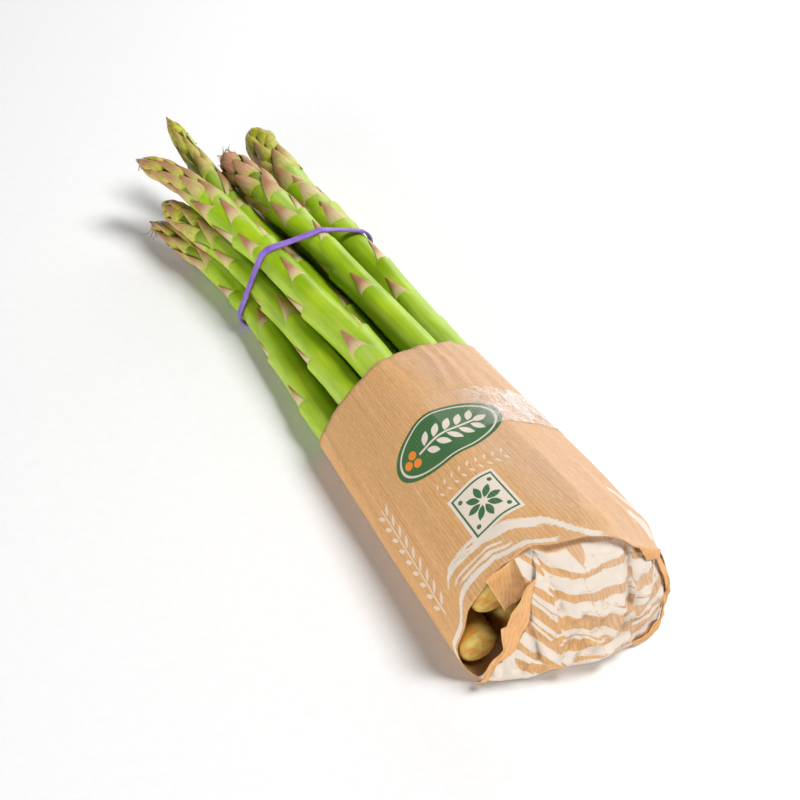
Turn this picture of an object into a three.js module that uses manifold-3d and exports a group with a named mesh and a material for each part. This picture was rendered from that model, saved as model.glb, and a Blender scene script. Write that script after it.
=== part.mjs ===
// A bundle of green asparagus lying on its side: eleven spears, an elastic band
// near the tips, and a folded paper sleeve with a strip of clear tape at the butts.
// Millimetres. +Y runs from the butts to the tips, +X is to the right when seen
// from the butts, +Z is up. Y = 0 is about where the sleeve is folded over.
import * as THREE from 'three';
import { mergeVertices } from 'three/addons/utils/BufferGeometryUtils.js';
import Module from 'manifold-3d';

const wasm = await Module();
wasm.setup();

// ---- driving dimensions -------------------------------------------------------
const CENTRE_X = 1.76;        // middle of the whole bundle, in the coordinates below
const CENTRE_Y = 123.4;
const LIFT = 0.95;            // height of the spears' lowest skin above the table

const MOUTH_Y = 97;           // open end of the sleeve
const MOUTH_LEAN = 0.1;       // how far the sleeve's edge draws back per mm of height
const BAND_Y = 166;           // where the elastic band sits
const PAPER = 0.7;            // thickness of the paper, with its folds
const CLEARANCE = 0.45;       // gap between touching pieces
const BAND_THICKNESS = 0.9;
const BAND_WIDTH = 2.4;
const TAPE_THICKNESS = 0.25;
const TAPE_WIDTH = 18;

const SPEAR_SIDES = 12;
const SPEAR_STEPS = 17;
const RING_POINTS = 60;       // points round the sleeve
const BAND_POINTS = 72;
const SUPPORT_ANGLES = 240;   // directions tried for the outline round the spears
const FLAT_BELOW = 1.0;       // paper and band lower than this are pressed on to the table

// Each spear: its path from the butt to the tip, its radius at the butt, at the
// sleeve's mouth and at the band, and its head: length, radius and roundness
// (0.5 is a round dome, 1 a long cone).
const SPEARS = {
  spear_01: { path: [[-6.5, 8, 31], [-2.9, 100, 27.2], [-3.9, 133, 25.2], [-4.8, 166, 23.3],
                     [-9.1, 205, 23.5], [-14.1, 228, 24.5], [-23.6, 243.5, 26.8]],
              radii: [6.7, 6.3, 5.3], head: [34, 5.8, 0.6] },
  spear_02: { path: [[0.8, 7, 20], [5.2, 100, 18], [3.7, 166, 16.3],
                     [0, 205, 17], [-2.3, 232, 22.6], [-3.7, 259.5, 30]],
              radii: [6.2, 5.5, 4.8], head: [34, 4.7, 0.75] },
  spear_03: { path: [[10, 8, 32.5], [13.6, 100, 26.2], [12.6, 166, 24.2],
                     [9.7, 205, 24.2], [6.9, 232.5, 24.6]],
              radii: [6.2, 5.6, 4.9], head: [13, 5.2, 0.5] },
  spear_04: { path: [[26.2, 8, 19.8], [27.2, 32, 19.1], [26.4, 100, 17], [27, 166, 16.7],
                     [24.6, 205, 17.5], [24.9, 220, 18.3], [26.6, 248.5, 20]],
              radii: [6.4, 6.2, 5.8], head: [22, 6.7, 0.5] },
  spear_05: { path: [[-25, 4.5, 7], [-19.1, 100, 6.5], [-14.4, 166, 5.2],
                     [-15.8, 195, 5.5], [-22, 218, 6.3], [-26.3, 231, 7]],
              radii: [6.3, 5.8, 4.8], head: [30, 4.6, 0.7] },
  spear_06: { path: [[-19.6, 8, 22], [-11.9, 100, 18.6], [-10.9, 166, 14.3],
                     [-13.4, 195, 14.8], [-20.8, 228.5, 15.2]],
              radii: [6.2, 5.5, 4.2], head: [12, 4.5, 0.5] },
  spear_07: { path: [[-12, 9, 6.5], [-5.9, 100, 6.1], [-4, 166, 5.1],
                     [-4.3, 195, 5.2], [-6.6, 222, 6]],
              radii: [6.1, 5.7, 4.8], head: [28, 4.9, 0.65] },
  spear_08: { path: [[1.2, 5, 6.4], [5.8, 100, 5.8], [6.2, 166, 5.2], [6.2, 236, 5.8]],
              radii: [6.1, 5.5, 4.9], head: [30, 5.0, 0.65] },
  spear_09: { path: [[14.2, 8, 6.3], [17.4, 100, 5.7], [17.2, 166, 5.1], [19.4, 230, 5.6]],
              radii: [6.1, 5.4, 4.8], head: [26, 4.9, 0.6] },
  spear_10: { path: [[26.6, 9, 6.2], [29.2, 100, 5.5], [28.3, 166, 5], [31, 238, 5.8]],
              radii: [5.9, 5.2, 4.8], head: [32, 5.0, 0.7] },
  spear_11: { path: [[14.5, 6, 19.5], [15.4, 100, 15.9], [14.4, 166, 14.4], [13.6, 231, 13.9]],
              radii: [5.1, 4.3, 4.2], head: [24, 4.3, 0.6] },
};

// The folded end of the sleeve, seen from above: [x, y] along the front edge on the
// table and along the crest where the top panel ends.
const FRONT_FOOT = [[-34, 1], [-24, -3], [-15, -6.5], [-6, -8.5], [2, -11], [10, -12.5],
                    [17, -13], [24, -11.5], [30, -8], [34, -1], [38, 7]];
const FRONT_CREST = [[-34, 11], [-21, 9.5], [-9, 7], [0, 2.6], [11, -1.5], [18, -5.5],
                     [25, -5], [30, 0.5], [34, 8], [38, 15]];
const CREST_HEIGHT = 40;
const FRONT_BULGE = 1.5;      // how far the end panel swells out at half height

// The gap left open at the left of the folded end, as [x, z] corners.
const OPENING = [[-60, 2.2], [-28, 2.2], [-21.5, 13], [-23, 22], [-14.5, 28],
                 [-12.5, 37], [-11.5, 60], [-60, 60]];
const OPENING_DEPTH_Y = 5.6;  // the side wall starts here at the table,
const OPENING_LEAN = 0.09;    // and this much further back per mm of height

// ---- numbers and curves -------------------------------------------------------
const lerp = THREE.MathUtils.lerp;

// Straight-line interpolation through [x, value] pairs.
function along(pairs, x) {
  const next = pairs.findIndex((pair) => pair[0] >= x);
  if (next === 0) return pairs[0][1];
  if (next === -1) return pairs[pairs.length - 1][1];
  const [x0, v0] = pairs[next - 1];
  const [x1, v1] = pairs[next];
  return lerp(v0, v1, (x - x0) / (x1 - x0));
}

// A spear sampled along its length: centre and radius at each sample.
function traceSpear({ path, radii, head }, steps) {
  const points = path.map(([x, y, z]) => new THREE.Vector3(x - CENTRE_X, y - CENTRE_Y, z + LIFT));
  const curve = new THREE.CatmullRomCurve3(points, false, 'centripetal');
  const length = curve.getLength();
  const [headLength, headRadius, roundness] = head;
  const headStart = (length - headLength) / length;
  const calibre = [[points[0].y, radii[0]], [100 - CENTRE_Y, radii[1]],
                   [BAND_Y - CENTRE_Y, radii[2]], [curve.getPointAt(headStart).y, headRadius]];
  return Array.from({ length: steps + 1 }, (_, step) => {
    const u = 1 - (1 - step / steps) ** 1.6;      // samples crowd towards the tip
    const centre = curve.getPointAt(u);
    const fromTip = (1 - u) * length;
    const inHead = Math.min(fromTip / headLength, 1);
    const dome = headRadius * (1 - (1 - inHead) ** 2) ** roundness;
    const radius = fromTip < headLength ? dome : along(calibre, centre.y);
    return { centre, tangent: curve.getTangentAt(u), radius };
  });
}

// ---- solids -------------------------------------------------------------------
// A closed solid from rings of equal length, with a fan over each end. The rings
// run in the direction of increasing Y and turn from +X towards +Z.
function loft(rings) {
  const count = rings[0].length;
  const vertices = rings.flat();
  const triangles = [];
  const middle = (ring) => ring.reduce((sum, p) => sum.add(p), new THREE.Vector3())
    .divideScalar(ring.length);
  for (let r = 0; r + 1 < rings.length; r += 1) {
    for (let i = 0; i < count; i += 1) {
      const a = r * count + i;
      const b = r * count + (i + 1) % count;
      triangles.push(a, a + count, b, b, a + count, b + count);
    }
  }
  const last = (rings.length - 1) * count;
  const firstHub = vertices.push(middle(rings[0])) - 1;
  const lastHub = vertices.push(middle(rings[rings.length - 1])) - 1;
  for (let i = 0; i < count; i += 1) {
    const j = (i + 1) % count;
    triangles.push(i, j, firstHub);
    triangles.push(last + j, last + i, lastHub);
  }
  return toGeometry(vertices, triangles);
}

// A closed band: each station is a loop of points round its section.
function hoop(sections) {
  const turns = sections.length;
  const corners = sections[0].length;
  const triangles = [];
  for (let s = 0; s < turns; s += 1) {
    for (let k = 0; k < corners; k += 1) {
      const a = s * corners + k;
      const b = s * corners + (k + 1) % corners;
      const c = ((s + 1) % turns) * corners + k;
      const d = ((s + 1) % turns) * corners + (k + 1) % corners;
      triangles.push(a, b, c, b, d, c);
    }
  }
  return toGeometry(sections.flat(), triangles);
}

function toGeometry(vertices, triangles) {
  const geometry = new THREE.BufferGeometry().setFromPoints(vertices);
  geometry.setIndex(triangles);
  return geometry;
}

function toManifold(geometry) {
  const merged = mergeVertices(geometry);
  return new wasm.Manifold(new wasm.Mesh({
    numProp: 3,
    vertProperties: new Float32Array(merged.attributes.position.array),
    triVerts: new Uint32Array(merged.index.array),
  }));
}

function fromManifold(solid) {
  const mesh = solid.getMesh();
  const geometry = new THREE.BufferGeometry();
  geometry.setAttribute('position', new THREE.BufferAttribute(mesh.vertProperties, mesh.numProp));
  geometry.setIndex(new THREE.BufferAttribute(mesh.triVerts, 1));
  return geometry;
}

function spearGeometry(spear) {
  const up = new THREE.Vector3(0, 0, 1);
  const rings = traceSpear(spear, SPEAR_STEPS).map(({ centre, tangent, radius }) => {
    const side = new THREE.Vector3().crossVectors(tangent, up).normalize();
    const rise = new THREE.Vector3().crossVectors(side, tangent);
    const size = Math.max(radius, 0.5);           // the tip is a small blunt point
    return Array.from({ length: SPEAR_SIDES }, (_, i) => {
      const angle = 2 * Math.PI * i / SPEAR_SIDES;
      return centre.clone()
        .addScaledVector(side, size * Math.cos(angle))
        .addScaledVector(rise, size * Math.sin(angle));
    });
  });
  return loft(rings);
}

// ---- the outline round the spears -----------------------------------------------
const TRACES = Object.values(SPEARS).map((spear) => traceSpear(spear, 60));
const HUB = new THREE.Vector2(1.5 - CENTRE_X, 17);

// The spears' cross-sections at one Y, as circles in the XZ plane.
function circlesAt(y) {
  const table = (trace, value) => along(trace.map((s) => [s.centre.y, value(s)]), y);
  return TRACES.filter((trace) => y < trace[trace.length - 1].centre.y).map((trace) => ({
    x: table(trace, (s) => s.centre.x),
    z: table(trace, (s) => s.centre.z),
    r: table(trace, (s) => s.radius),
  }));
}

// A taut outline a given gap outside the spears at one Y: [x, z] at each angle.
function outline(y, gap, angles) {
  const circles = circlesAt(y);
  const supports = Array.from({ length: SUPPORT_ANGLES }, (_, i) => {
    const t = 2 * Math.PI * i / SUPPORT_ANGLES;
    const reach = Math.max(...circles.map((c) => (c.x - HUB.x) * Math.cos(t)
      + (c.z - HUB.y) * Math.sin(t) + c.r));
    return [t, reach + gap];
  });
  return angles.map((angle) => {
    const facing = supports.filter(([t]) => Math.cos(t - angle) > 0.05);
    const radius = Math.min(...facing.map(([t, reach]) => reach / Math.cos(t - angle)));
    return [HUB.x + radius * Math.cos(angle), HUB.y + radius * Math.sin(angle)];
  });
}

const fullTurn = (count) => Array.from({ length: count }, (_, i) => 2 * Math.PI * i / count);
const onTable = (z) => (z < FLAT_BELOW ? 0 : z);

// ---- paper sleeve ---------------------------------------------------------------
function sleeveTube(gap, stations, floor) {
  return loft(stations.map((station) => {
    const y = station - CENTRE_Y;
    return outline(y, gap, fullTurn(RING_POINTS)).map(([x, z]) => {
      const height = floor(z);
      const lean = station >= MOUTH_Y ? MOUTH_LEAN * height : 0;
      return new THREE.Vector3(x, y - lean, height);
    });
  }));
}

// Everything in front of the folded end: a block whose back face is the end panel.
function frontBlock(offset) {
  const columns = [-34, -28, -21, -15, -9, -4, 2, 8, 14, 20, 25, 30, 34, 38];
  const rows = [-2, 0, 8, 16, 24, 32, 40, 48];
  const back = rows.map((z) => columns.map((x) => {
    const rise = THREE.MathUtils.clamp(z / CREST_HEIGHT, 0, 1);
    const y = lerp(along(FRONT_FOOT, x), along(FRONT_CREST, x), rise)
      - FRONT_BULGE * Math.sin(Math.PI * rise) + offset;
    return new THREE.Vector3(x - CENTRE_X, y - CENTRE_Y, z);
  }));
  const front = back.map((row) => row.map((p) => new THREE.Vector3(p.x, -60 - CENTRE_Y, p.z)));
  const wide = columns.length;
  const vertices = [...back.flat(), ...front.flat()];
  const shift = wide * rows.length;
  const triangles = [];
  const quad = (a, b, c, d) => triangles.push(a, b, c, a, c, d);
  for (let r = 0; r + 1 < rows.length; r += 1) {
    for (let c = 0; c + 1 < wide; c += 1) {
      const a = r * wide + c;
      quad(a, a + wide, a + wide + 1, a + 1);
      quad(shift + a, shift + a + 1, shift + a + wide + 1, shift + a + wide);
    }
    const left = r * wide;
    const right = left + wide - 1;
    quad(left, shift + left, shift + left + wide, left + wide);
    quad(right, right + wide, shift + right + wide, shift + right);
  }
  const top = (rows.length - 1) * wide;
  for (let c = 0; c + 1 < wide; c += 1) {
    quad(c, c + 1, shift + c + 1, shift + c);
    quad(top + c, shift + top + c, shift + top + c + 1, top + c + 1);
  }
  return toManifold(toGeometry(vertices, triangles));
}

function openingBlock() {
  const shape = new THREE.Shape(OPENING.map(([x, z]) => new THREE.Vector2(x - CENTRE_X, z)));
  const geometry = new THREE.ExtrudeGeometry(shape, { depth: 60, bevelEnabled: false });
  geometry.deleteAttribute('normal');
  geometry.deleteAttribute('uv');
  geometry.rotateX(Math.PI / 2);                  // extruded towards -Y
  geometry.applyMatrix4(new THREE.Matrix4().makeShear(0, 0, 0, 0, 0, OPENING_LEAN));
  geometry.translate(0, OPENING_DEPTH_Y - CENTRE_Y, 0);
  return toManifold(geometry);
}

function sleeveGeometry() {
  const stations = [-20, 5, 14, 28, 42, 56, 70, 84];
  const outer = toManifold(sleeveTube(CLEARANCE + PAPER, [...stations, MOUTH_Y], onTable));
  const inner = toManifold(sleeveTube(CLEARANCE, [...stations, MOUTH_Y + 8],
    (z) => Math.max(z, PAPER)));
  const shell = outer.subtract(frontBlock(0)).subtract(inner.subtract(frontBlock(PAPER)));
  return fromManifold(shell.subtract(openingBlock()));
}

// ---- elastic band ---------------------------------------------------------------
function bandGeometry() {
  const y = BAND_Y - CENTRE_Y;
  const angles = fullTurn(BAND_POINTS);
  const inner = outline(y, CLEARANCE, angles);
  const outer = outline(y, CLEARANCE + BAND_THICKNESS, angles);
  const half = BAND_WIDTH / 2;
  return hoop(angles.map((_, i) => {
    const [xi, zi] = inner[i];
    const [xo, zo] = outer[i];
    const out = onTable(Math.max(zo, 0));
    return [
      new THREE.Vector3(xi, y - half, zi), new THREE.Vector3(xo, y - half, out),
      new THREE.Vector3(xo, y + half, out), new THREE.Vector3(xi, y + half, zi),
    ];
  }));
}

// ---- strip of clear tape ----------------------------------------------------------
function tapeGeometry() {
  const steps = 18;
  const start = THREE.MathUtils.degToRad(105);    // near the top of the sleeve
  const end = THREE.MathUtils.degToRad(-12);      // low on its right side
  const under = CLEARANCE + PAPER + CLEARANCE;
  const rings = Array.from({ length: steps + 1 }, (_, step) => {
    const angle = lerp(start, end, step / steps);
    const middle = lerp(62, 56, step / steps) - CENTRE_Y;
    const corner = (side, gap) => {
      const y = middle + side * TAPE_WIDTH / 2;
      const [[x, z]] = outline(y, gap, [angle]);
      return new THREE.Vector3(x, y, z);
    };
    return [corner(-1, under), corner(-1, under + TAPE_THICKNESS),
            corner(1, under + TAPE_THICKNESS), corner(1, under)];
  });
  return loft(rings);
}

// ---- assembly -------------------------------------------------------------------
const SKIN = new THREE.MeshStandardMaterial({ color: 0x8fae2a, roughness: 0.45 });
const KRAFT = new THREE.MeshStandardMaterial({ color: 0xc79a66, roughness: 0.8 });
const VIOLET = new THREE.MeshStandardMaterial({ color: 0x8b68c4, roughness: 0.5 });
const CLEAR = new THREE.MeshStandardMaterial({
  color: 0xf4efe8, roughness: 0.1, transparent: true, opacity: 0.3,
});

function piece(name, geometry, material) {
  const mesh = new THREE.Mesh(geometry, material);
  mesh.name = name;
  return mesh;
}

const bundle = new THREE.Group();
for (const [name, spear] of Object.entries(SPEARS)) {
  bundle.add(piece(name, spearGeometry(spear), SKIN));
}
bundle.add(piece('rubber_band', bandGeometry(), VIOLET));
bundle.add(piece('paper_sleeve', sleeveGeometry(), KRAFT));
bundle.add(piece('clear_tape', tapeGeometry(), CLEAR));

export default bundle;
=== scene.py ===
"""Looks of a bundle of green asparagus: spears, elastic band, kraft sleeve and clear tape.

Shapes are worked out in millimetres and go into the meshes in metres. +Y runs
from the butts to the tips, +Z is up, and the bundle lies on z = 0.
"""

import logging
import math
from collections.abc import Sequence
from dataclasses import dataclass, field
from enum import Enum
from typing import Any

import bpy
import numpy as np
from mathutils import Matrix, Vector


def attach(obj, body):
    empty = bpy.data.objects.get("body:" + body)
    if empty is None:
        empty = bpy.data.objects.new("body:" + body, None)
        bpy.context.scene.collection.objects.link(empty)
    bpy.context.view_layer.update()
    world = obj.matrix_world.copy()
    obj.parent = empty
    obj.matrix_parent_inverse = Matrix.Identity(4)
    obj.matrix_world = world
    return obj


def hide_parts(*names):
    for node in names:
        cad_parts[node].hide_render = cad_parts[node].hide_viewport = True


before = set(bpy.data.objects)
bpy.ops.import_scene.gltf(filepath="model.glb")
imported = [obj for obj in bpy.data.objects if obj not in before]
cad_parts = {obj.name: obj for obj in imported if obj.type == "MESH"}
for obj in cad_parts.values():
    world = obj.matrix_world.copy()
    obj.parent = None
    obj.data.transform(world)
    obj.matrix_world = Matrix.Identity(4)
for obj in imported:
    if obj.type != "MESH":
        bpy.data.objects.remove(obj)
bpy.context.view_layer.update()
LOG = logging.getLogger("asparagus")

MM = 0.001
SHIFT = np.array([-1.76, -123.4, 0.95])  # from the bundle's working axes to the row's, in mm
HUB = np.array([-0.26, 17.0])  # x and z of the line that the outlines turn round
MOUTH = 97.0  # y of the sleeve's mouth in the working axes
BAND = 166.0  # and of the elastic band
MOUTH_Y = MOUTH + SHIFT[1]
BAND_Y = BAND + SHIFT[1]
PAPER_GAP = 1.05  # outer face of the paper above the spears
FULL_TURN = 2.0 * math.pi
GOLDEN_TURN = 137.5  # degrees from one bract to the next
Points = Sequence[Sequence[float]]
Rgb = tuple[float, float, float]


# ---- node graphs ----


class Wire:
    """A node's output that takes part in arithmetic."""

    def __init__(self, graph: "Graph", socket: bpy.types.NodeSocket) -> None:
        """Keeps the socket and the graph that it belongs to."""
        self.graph = graph
        self.socket = socket

    def __getitem__(self, name: str) -> "Wire":
        """Another output of the same node."""
        return Wire(self.graph, self.socket.node.outputs[name])

    def __add__(self, other: Any) -> "Wire":
        """Sum."""
        return self.graph.math("ADD", self, other)

    __radd__ = __add__

    def __sub__(self, other: Any) -> "Wire":
        """Difference."""
        return self.graph.math("SUBTRACT", self, other)

    def __rsub__(self, other: Any) -> "Wire":
        """Difference from a number."""
        return self.graph.math("SUBTRACT", other, self)

    def __mul__(self, other: Any) -> "Wire":
        """Product."""
        return self.graph.math("MULTIPLY", self, other)

    __rmul__ = __mul__

    def __pow__(self, other: Any) -> "Wire":
        """Power."""
        return self.graph.math("POWER", self, other)

    def __or__(self, other: Any) -> "Wire":
        """The greater of the two, which joins two masks."""
        return self.graph.math("MAXIMUM", self, other)

    def __abs__(self) -> "Wire":
        """Size without sign."""
        return self.graph.math("ABSOLUTE", self)

    def step(self, low: float, high: float) -> "Wire":
        """Smooth 0 to 1 between two values, or 1 to 0 when low is the greater.

        Args:
            low: Value that gives 0.
            high: Value that gives 1.

        Returns:
            The smooth step.
        """
        return self.graph.node(
            "ShaderNodeMapRange",
            {"interpolation_type": "SMOOTHSTEP"},
            {0: self, 1: low, 2: high, 3: 0.0, 4: 1.0},
        )


class Graph:
    """Adds nodes to one tree."""

    def __init__(self, tree: bpy.types.NodeTree) -> None:
        """Keeps the tree."""
        self.tree = tree

    def node(
        self,
        kind: str,
        settings: dict[str, Any] | None = None,
        values: dict[int | str, Any] | None = None,
        output: int | str = 0,
    ) -> Wire:
        """Adds one node.

        Args:
            kind: Type of the node.
            settings: Its own properties, set first.
            values: Numbers, colours or wires by input.
            output: Which output to return.

        Returns:
            The chosen output.
        """
        made = self.tree.nodes.new(kind)
        for name, value in (settings or {}).items():
            setattr(made, name, value)
        for key, value in (values or {}).items():
            if isinstance(value, Wire):
                self.tree.links.new(value.socket, made.inputs[key])
            else:
                made.inputs[key].default_value = value
        return Wire(self, made.outputs[output] if len(made.outputs) else None)

    def math(self, operation: str, *values: Any) -> Wire:
        """Adds a Math node over numbers and wires."""
        return self.node("ShaderNodeMath", {"operation": operation}, dict(enumerate(values)))

    def vector(self, operation: str, *values: Any, output: int | str = 0) -> Wire:
        """Adds a Vector Math node over vectors and wires."""
        inputs = dict(enumerate(values))
        return self.node("ShaderNodeVectorMath", {"operation": operation}, inputs, output)

    def scaled(self, vector: Wire, amount: Any) -> Wire:
        """A vector times a number."""
        return self.node("ShaderNodeVectorMath", {"operation": "SCALE"}, {0: vector, "Scale": amount})

    def parts(self, vector: Wire) -> Wire:
        """A vector's X, from which its Y and Z are taken by name."""
        return self.node("ShaderNodeSeparateXYZ", None, {0: vector})

    def pair(self, x: Any, y: Any) -> Wire:
        """A flat vector of two numbers."""
        return self.node("ShaderNodeCombineXYZ", None, {0: x, 1: y})

    def place(self) -> Wire:
        """Position on the object, in metres."""
        return self.node("ShaderNodeTexCoord", None, None, "Object")

    def sheet(self, name: str) -> Wire:
        """Position on the piece's own map."""
        return self.node("ShaderNodeUVMap", {"uv_map": name})

    def stored(self, name: str, output: str = "Fac") -> Wire:
        """A value kept on the piece's points."""
        return self.node("ShaderNodeAttribute", {"attribute_name": name}, None, output)

    def mix(self, factor: Any, first: Any, second: Any, blend: str = "MIX") -> Wire:
        """Mixes two colours.

        Args:
            factor: Share of the second colour.
            first: Colour or wire.
            second: Colour or wire.
            blend: How they combine.

        Returns:
            The mixed colour.
        """
        settings = {"data_type": "RGBA", "blend_type": blend, "clamp_factor": True}
        ends = [v if isinstance(v, Wire) else (*v, 1.0) for v in (first, second)]
        return self.node("ShaderNodeMix", settings, {0: factor, 6: ends[0], 7: ends[1]}, 2)

    def layers(self, base: Wire, *coats: tuple[Wire, Any]) -> Wire:
        """Lays colours over a base, one after the other.

        Args:
            base: The lowest colour.
            coats: How much of each next colour shows, and the colour.

        Returns:
            The colour on top.
        """
        for share, colour in coats:
            base = self.mix(share, base, colour)
        return base

    def noise(self, where: Wire, scale: float | Rgb, detail: float = 2.0, rough: float = 0.5) -> Wire:
        """Noise from 0 to 1.

        Args:
            where: Position.
            scale: Cells per unit, one number or one for each axis.
            detail: How many finer layers it has.
            rough: How strong the finer layers are.

        Returns:
            The noise.
        """
        if isinstance(scale, tuple):
            where, scale = self.stretched(where, scale), 1.0
        values = {"Vector": where, "Scale": scale, "Detail": detail, "Roughness": rough}
        return self.node("ShaderNodeTexNoise", None, values)

    def stretched(self, where: Wire, amounts: Rgb) -> Wire:
        """A position with each axis scaled on its own."""
        return self.vector("MULTIPLY", where, amounts)


# ---- finishes ----


def srgb(red: int, green: int, blue: int) -> Rgb:
    """A display colour as linear light."""
    parts = (c / 255 for c in (red, green, blue))
    return tuple(c / 12.92 if c <= 0.04045 else ((c + 0.055) / 1.055) ** 2.4 for c in parts)


@dataclass(frozen=True)
class Finish:
    """What every finish shares: a name and the constant sockets of its shader."""

    name: str
    sockets: dict[str, Any] = field(default_factory=dict)

    def paint(self, graph: Graph) -> dict[str, Wire]:
        """The sockets that change over the surface."""
        raise NotImplementedError

    def material(self) -> bpy.types.Material:
        """Builds the material, or returns the one already built.

        Returns:
            The material.
        """
        made = bpy.data.materials.get(self.name)
        if made:
            return made
        made = bpy.data.materials.new(self.name)
        made.use_nodes = True
        made.node_tree.nodes.clear()
        graph = Graph(made.node_tree)
        values = {**self.sockets, **self.paint(graph)}
        shader = graph.node("ShaderNodeBsdfPrincipled", None, values)
        graph.node("ShaderNodeOutputMaterial", {"target": "ALL"}, {"Surface": shader})
        return made

    @staticmethod
    def surface(graph: Graph, colour: Wire, rough: Wire, height: Wire, depth: float) -> dict[str, Wire]:
        """Colour, roughness and bump.

        Args:
            graph: The material's nodes.
            colour: Base colour.
            rough: Roughness.
            height: Relief from 0 to 1.
            depth: How deep the relief is, in metres.

        Returns:
            The sockets that change.
        """
        bump = {"Strength": 1.0, "Distance": depth, "Height": height}
        return {"Base Color": colour, "Roughness": rough, "Normal": graph.node("ShaderNodeBump", None, bump)}


@dataclass(frozen=True)
class Skin(Finish):
    """Stalk of a spear: bright green with fine grain along it."""

    deep: Rgb = srgb(140, 174, 8)
    bright: Rgb = srgb(168, 197, 28)
    # The colour of the skin's sheen, used for painted sheen patches and for pale grain lines.
    pale: Rgb = srgb(206, 218, 142)
    # Dull dark green for the core under the head: partly its own colour, partly painted shade between the
    # bracts.
    olive_and_gap_shade: Rgb = srgb(92, 102, 12)

    def paint(self, graph: Graph) -> dict[str, Wire]:
        """Grain, mottling, broad patches of painted sheen, an ochre butt, and a head darkened partly in its
        own colour and partly with painted shade between the bracts.

        Args:
            graph: The material's nodes.

        Returns:
            The sockets that change.
        """
        grain = graph.stored("grain", "Vector")
        along = graph.parts(grain)["Z"]
        butt = graph.stored("butt")
        lines = graph.noise(grain, (1.1, 1.1, 0.035), 4.0, 0.6)
        broad = graph.noise(grain, (0.16, 0.16, 0.014), 2.0)
        cloud = graph.noise(grain, (0.09, 0.09, 0.05), 3.0)
        specks = graph.noise(grain, 1.6, 3.0, 0.7)
        ends = (butt + (lines - 0.5) * 12.0).step(34.0, 10.0)
        straw = graph.mix(cloud.step(0.44, 0.6), srgb(208, 184, 94), srgb(204, 142, 58))
        green = graph.layers(
            graph.mix(cloud.step(0.3, 0.66), self.deep, self.bright),
            # Broad pale patches: partly the skin's waxy bloom, partly painted sheen, laid at random rather
            # than where the light falls.
            (broad.step(0.46, 0.74) * 0.36, self.pale),
            (lines.step(0.5, 0.7) * 0.12, self.pale),
            (lines.step(0.48, 0.3) * 0.16, srgb(118, 156, 6)),
            (specks.step(0.62, 0.74) * 0.16, srgb(132, 150, 24)),
            # Darker dull green under the head: partly the head's own colour, partly painted shade in the
            # gaps between the bracts.
            (along.step(38.0, 20.0) * 0.85, self.olive_and_gap_shade),
            (ends, straw),
        )
        return self.surface(graph, green, 0.3 + 0.16 * lines, lines, 0.00007)


@dataclass(frozen=True)
class Scale(Finish):
    """Bract: green at its foot, dusty mauve above, with pale papery margins."""

    def paint(self, graph: Graph) -> dict[str, Wire]:
        """Colours by the place on the bract, by how young it is and by how mauve its spear is, with painted
        shade along the head bracts' edges and at the feet of some stalk bracts.

        Args:
            graph: The material's nodes.

        Returns:
            The sockets that change.
        """
        leaf = graph.sheet("leaf")
        parts = graph.parts(leaf)
        across = abs(parts * 2.0 - 1.0)
        up = parts["Y"]
        young, tone, blush = (graph.stored(name) for name in ("youth", "tone", "blush"))
        place = graph.place()
        veins = graph.noise(leaf, (16.0, 1.2, 1.0), 3.0, 0.6)
        blotch = graph.noise(place, 420.0, 3.0, 0.6)
        young_green = graph.mix(blotch.step(0.35, 0.65), srgb(152, 154, 10), srgb(192, 192, 54))
        mauve = graph.layers(
            graph.mix(tone, srgb(190, 140, 106), srgb(150, 92, 68)),
            (blotch.step(0.5, 0.66) * 0.55, srgb(160, 100, 44)),
            (veins.step(0.4, 0.75) * 0.5, srgb(216, 180, 140)),
        )
        turn = up + (blotch - 0.5) * 0.9 + tone * 0.35 + (blush - 0.5) * 0.7 - across * across * 0.3
        head = graph.mix(turn.step(0.42, 1.0), young_green, mauve)
        cream = graph.mix(veins.step(0.35, 0.7), srgb(204, 174, 130), srgb(216, 200, 158))
        dusty = graph.mix(tone, srgb(190, 142, 106), srgb(164, 110, 78))
        stalk = graph.layers(
            graph.mix((up + (veins - 0.5) * 0.4 + (tone - 0.5) * 0.2).step(0.2, 0.62), cream, dusty),
            ((up + (veins - 0.5) * 0.24).step(0.24, 0.03), srgb(180, 200, 62)),
            # A brown line at the foot of some stalk bracts: partly their brown edge, partly painted shade in
            # the gap under the foot.
            ((up + (veins - 0.5) * 0.1).step(0.07, 0.02) * tone.step(0.3, 0.7) * 0.6, srgb(150, 104, 48)),
        )
        tip = graph.mix(young, srgb(160, 106, 70), srgb(126, 84, 50))
        margin = (across + (blotch - 0.5) * 0.2).step(0.5, 0.86) * young * 0.5
        edge = (across + (blotch - 0.5) * 0.1).step(0.88, 0.98)
        rim = graph.mix(up.step(0.3, 0.8), srgb(214, 206, 140), srgb(160, 108, 70))
        # Head bracts get a dark edge: partly a dark margin, partly painted shade of the gaps between the
        # bracts.
        rim = graph.mix(young * 0.9, rim, srgb(104, 84, 22))
        colour = graph.layers(
            graph.mix(young, stalk, head),
            ((up + (veins - 0.5) * 0.2).step(0.7, 1.0) * 0.6, tip),
            (margin, graph.mix(up, srgb(198, 206, 84), srgb(214, 176, 130))),
            (edge * up.step(0.02, 0.2) * 0.85, rim),
            (up.step(0.16, 0.0) * young * 0.7, srgb(142, 172, 14)),
        )
        return self.surface(graph, colour, 0.42 + 0.2 * veins, veins, 0.00008)


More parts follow.
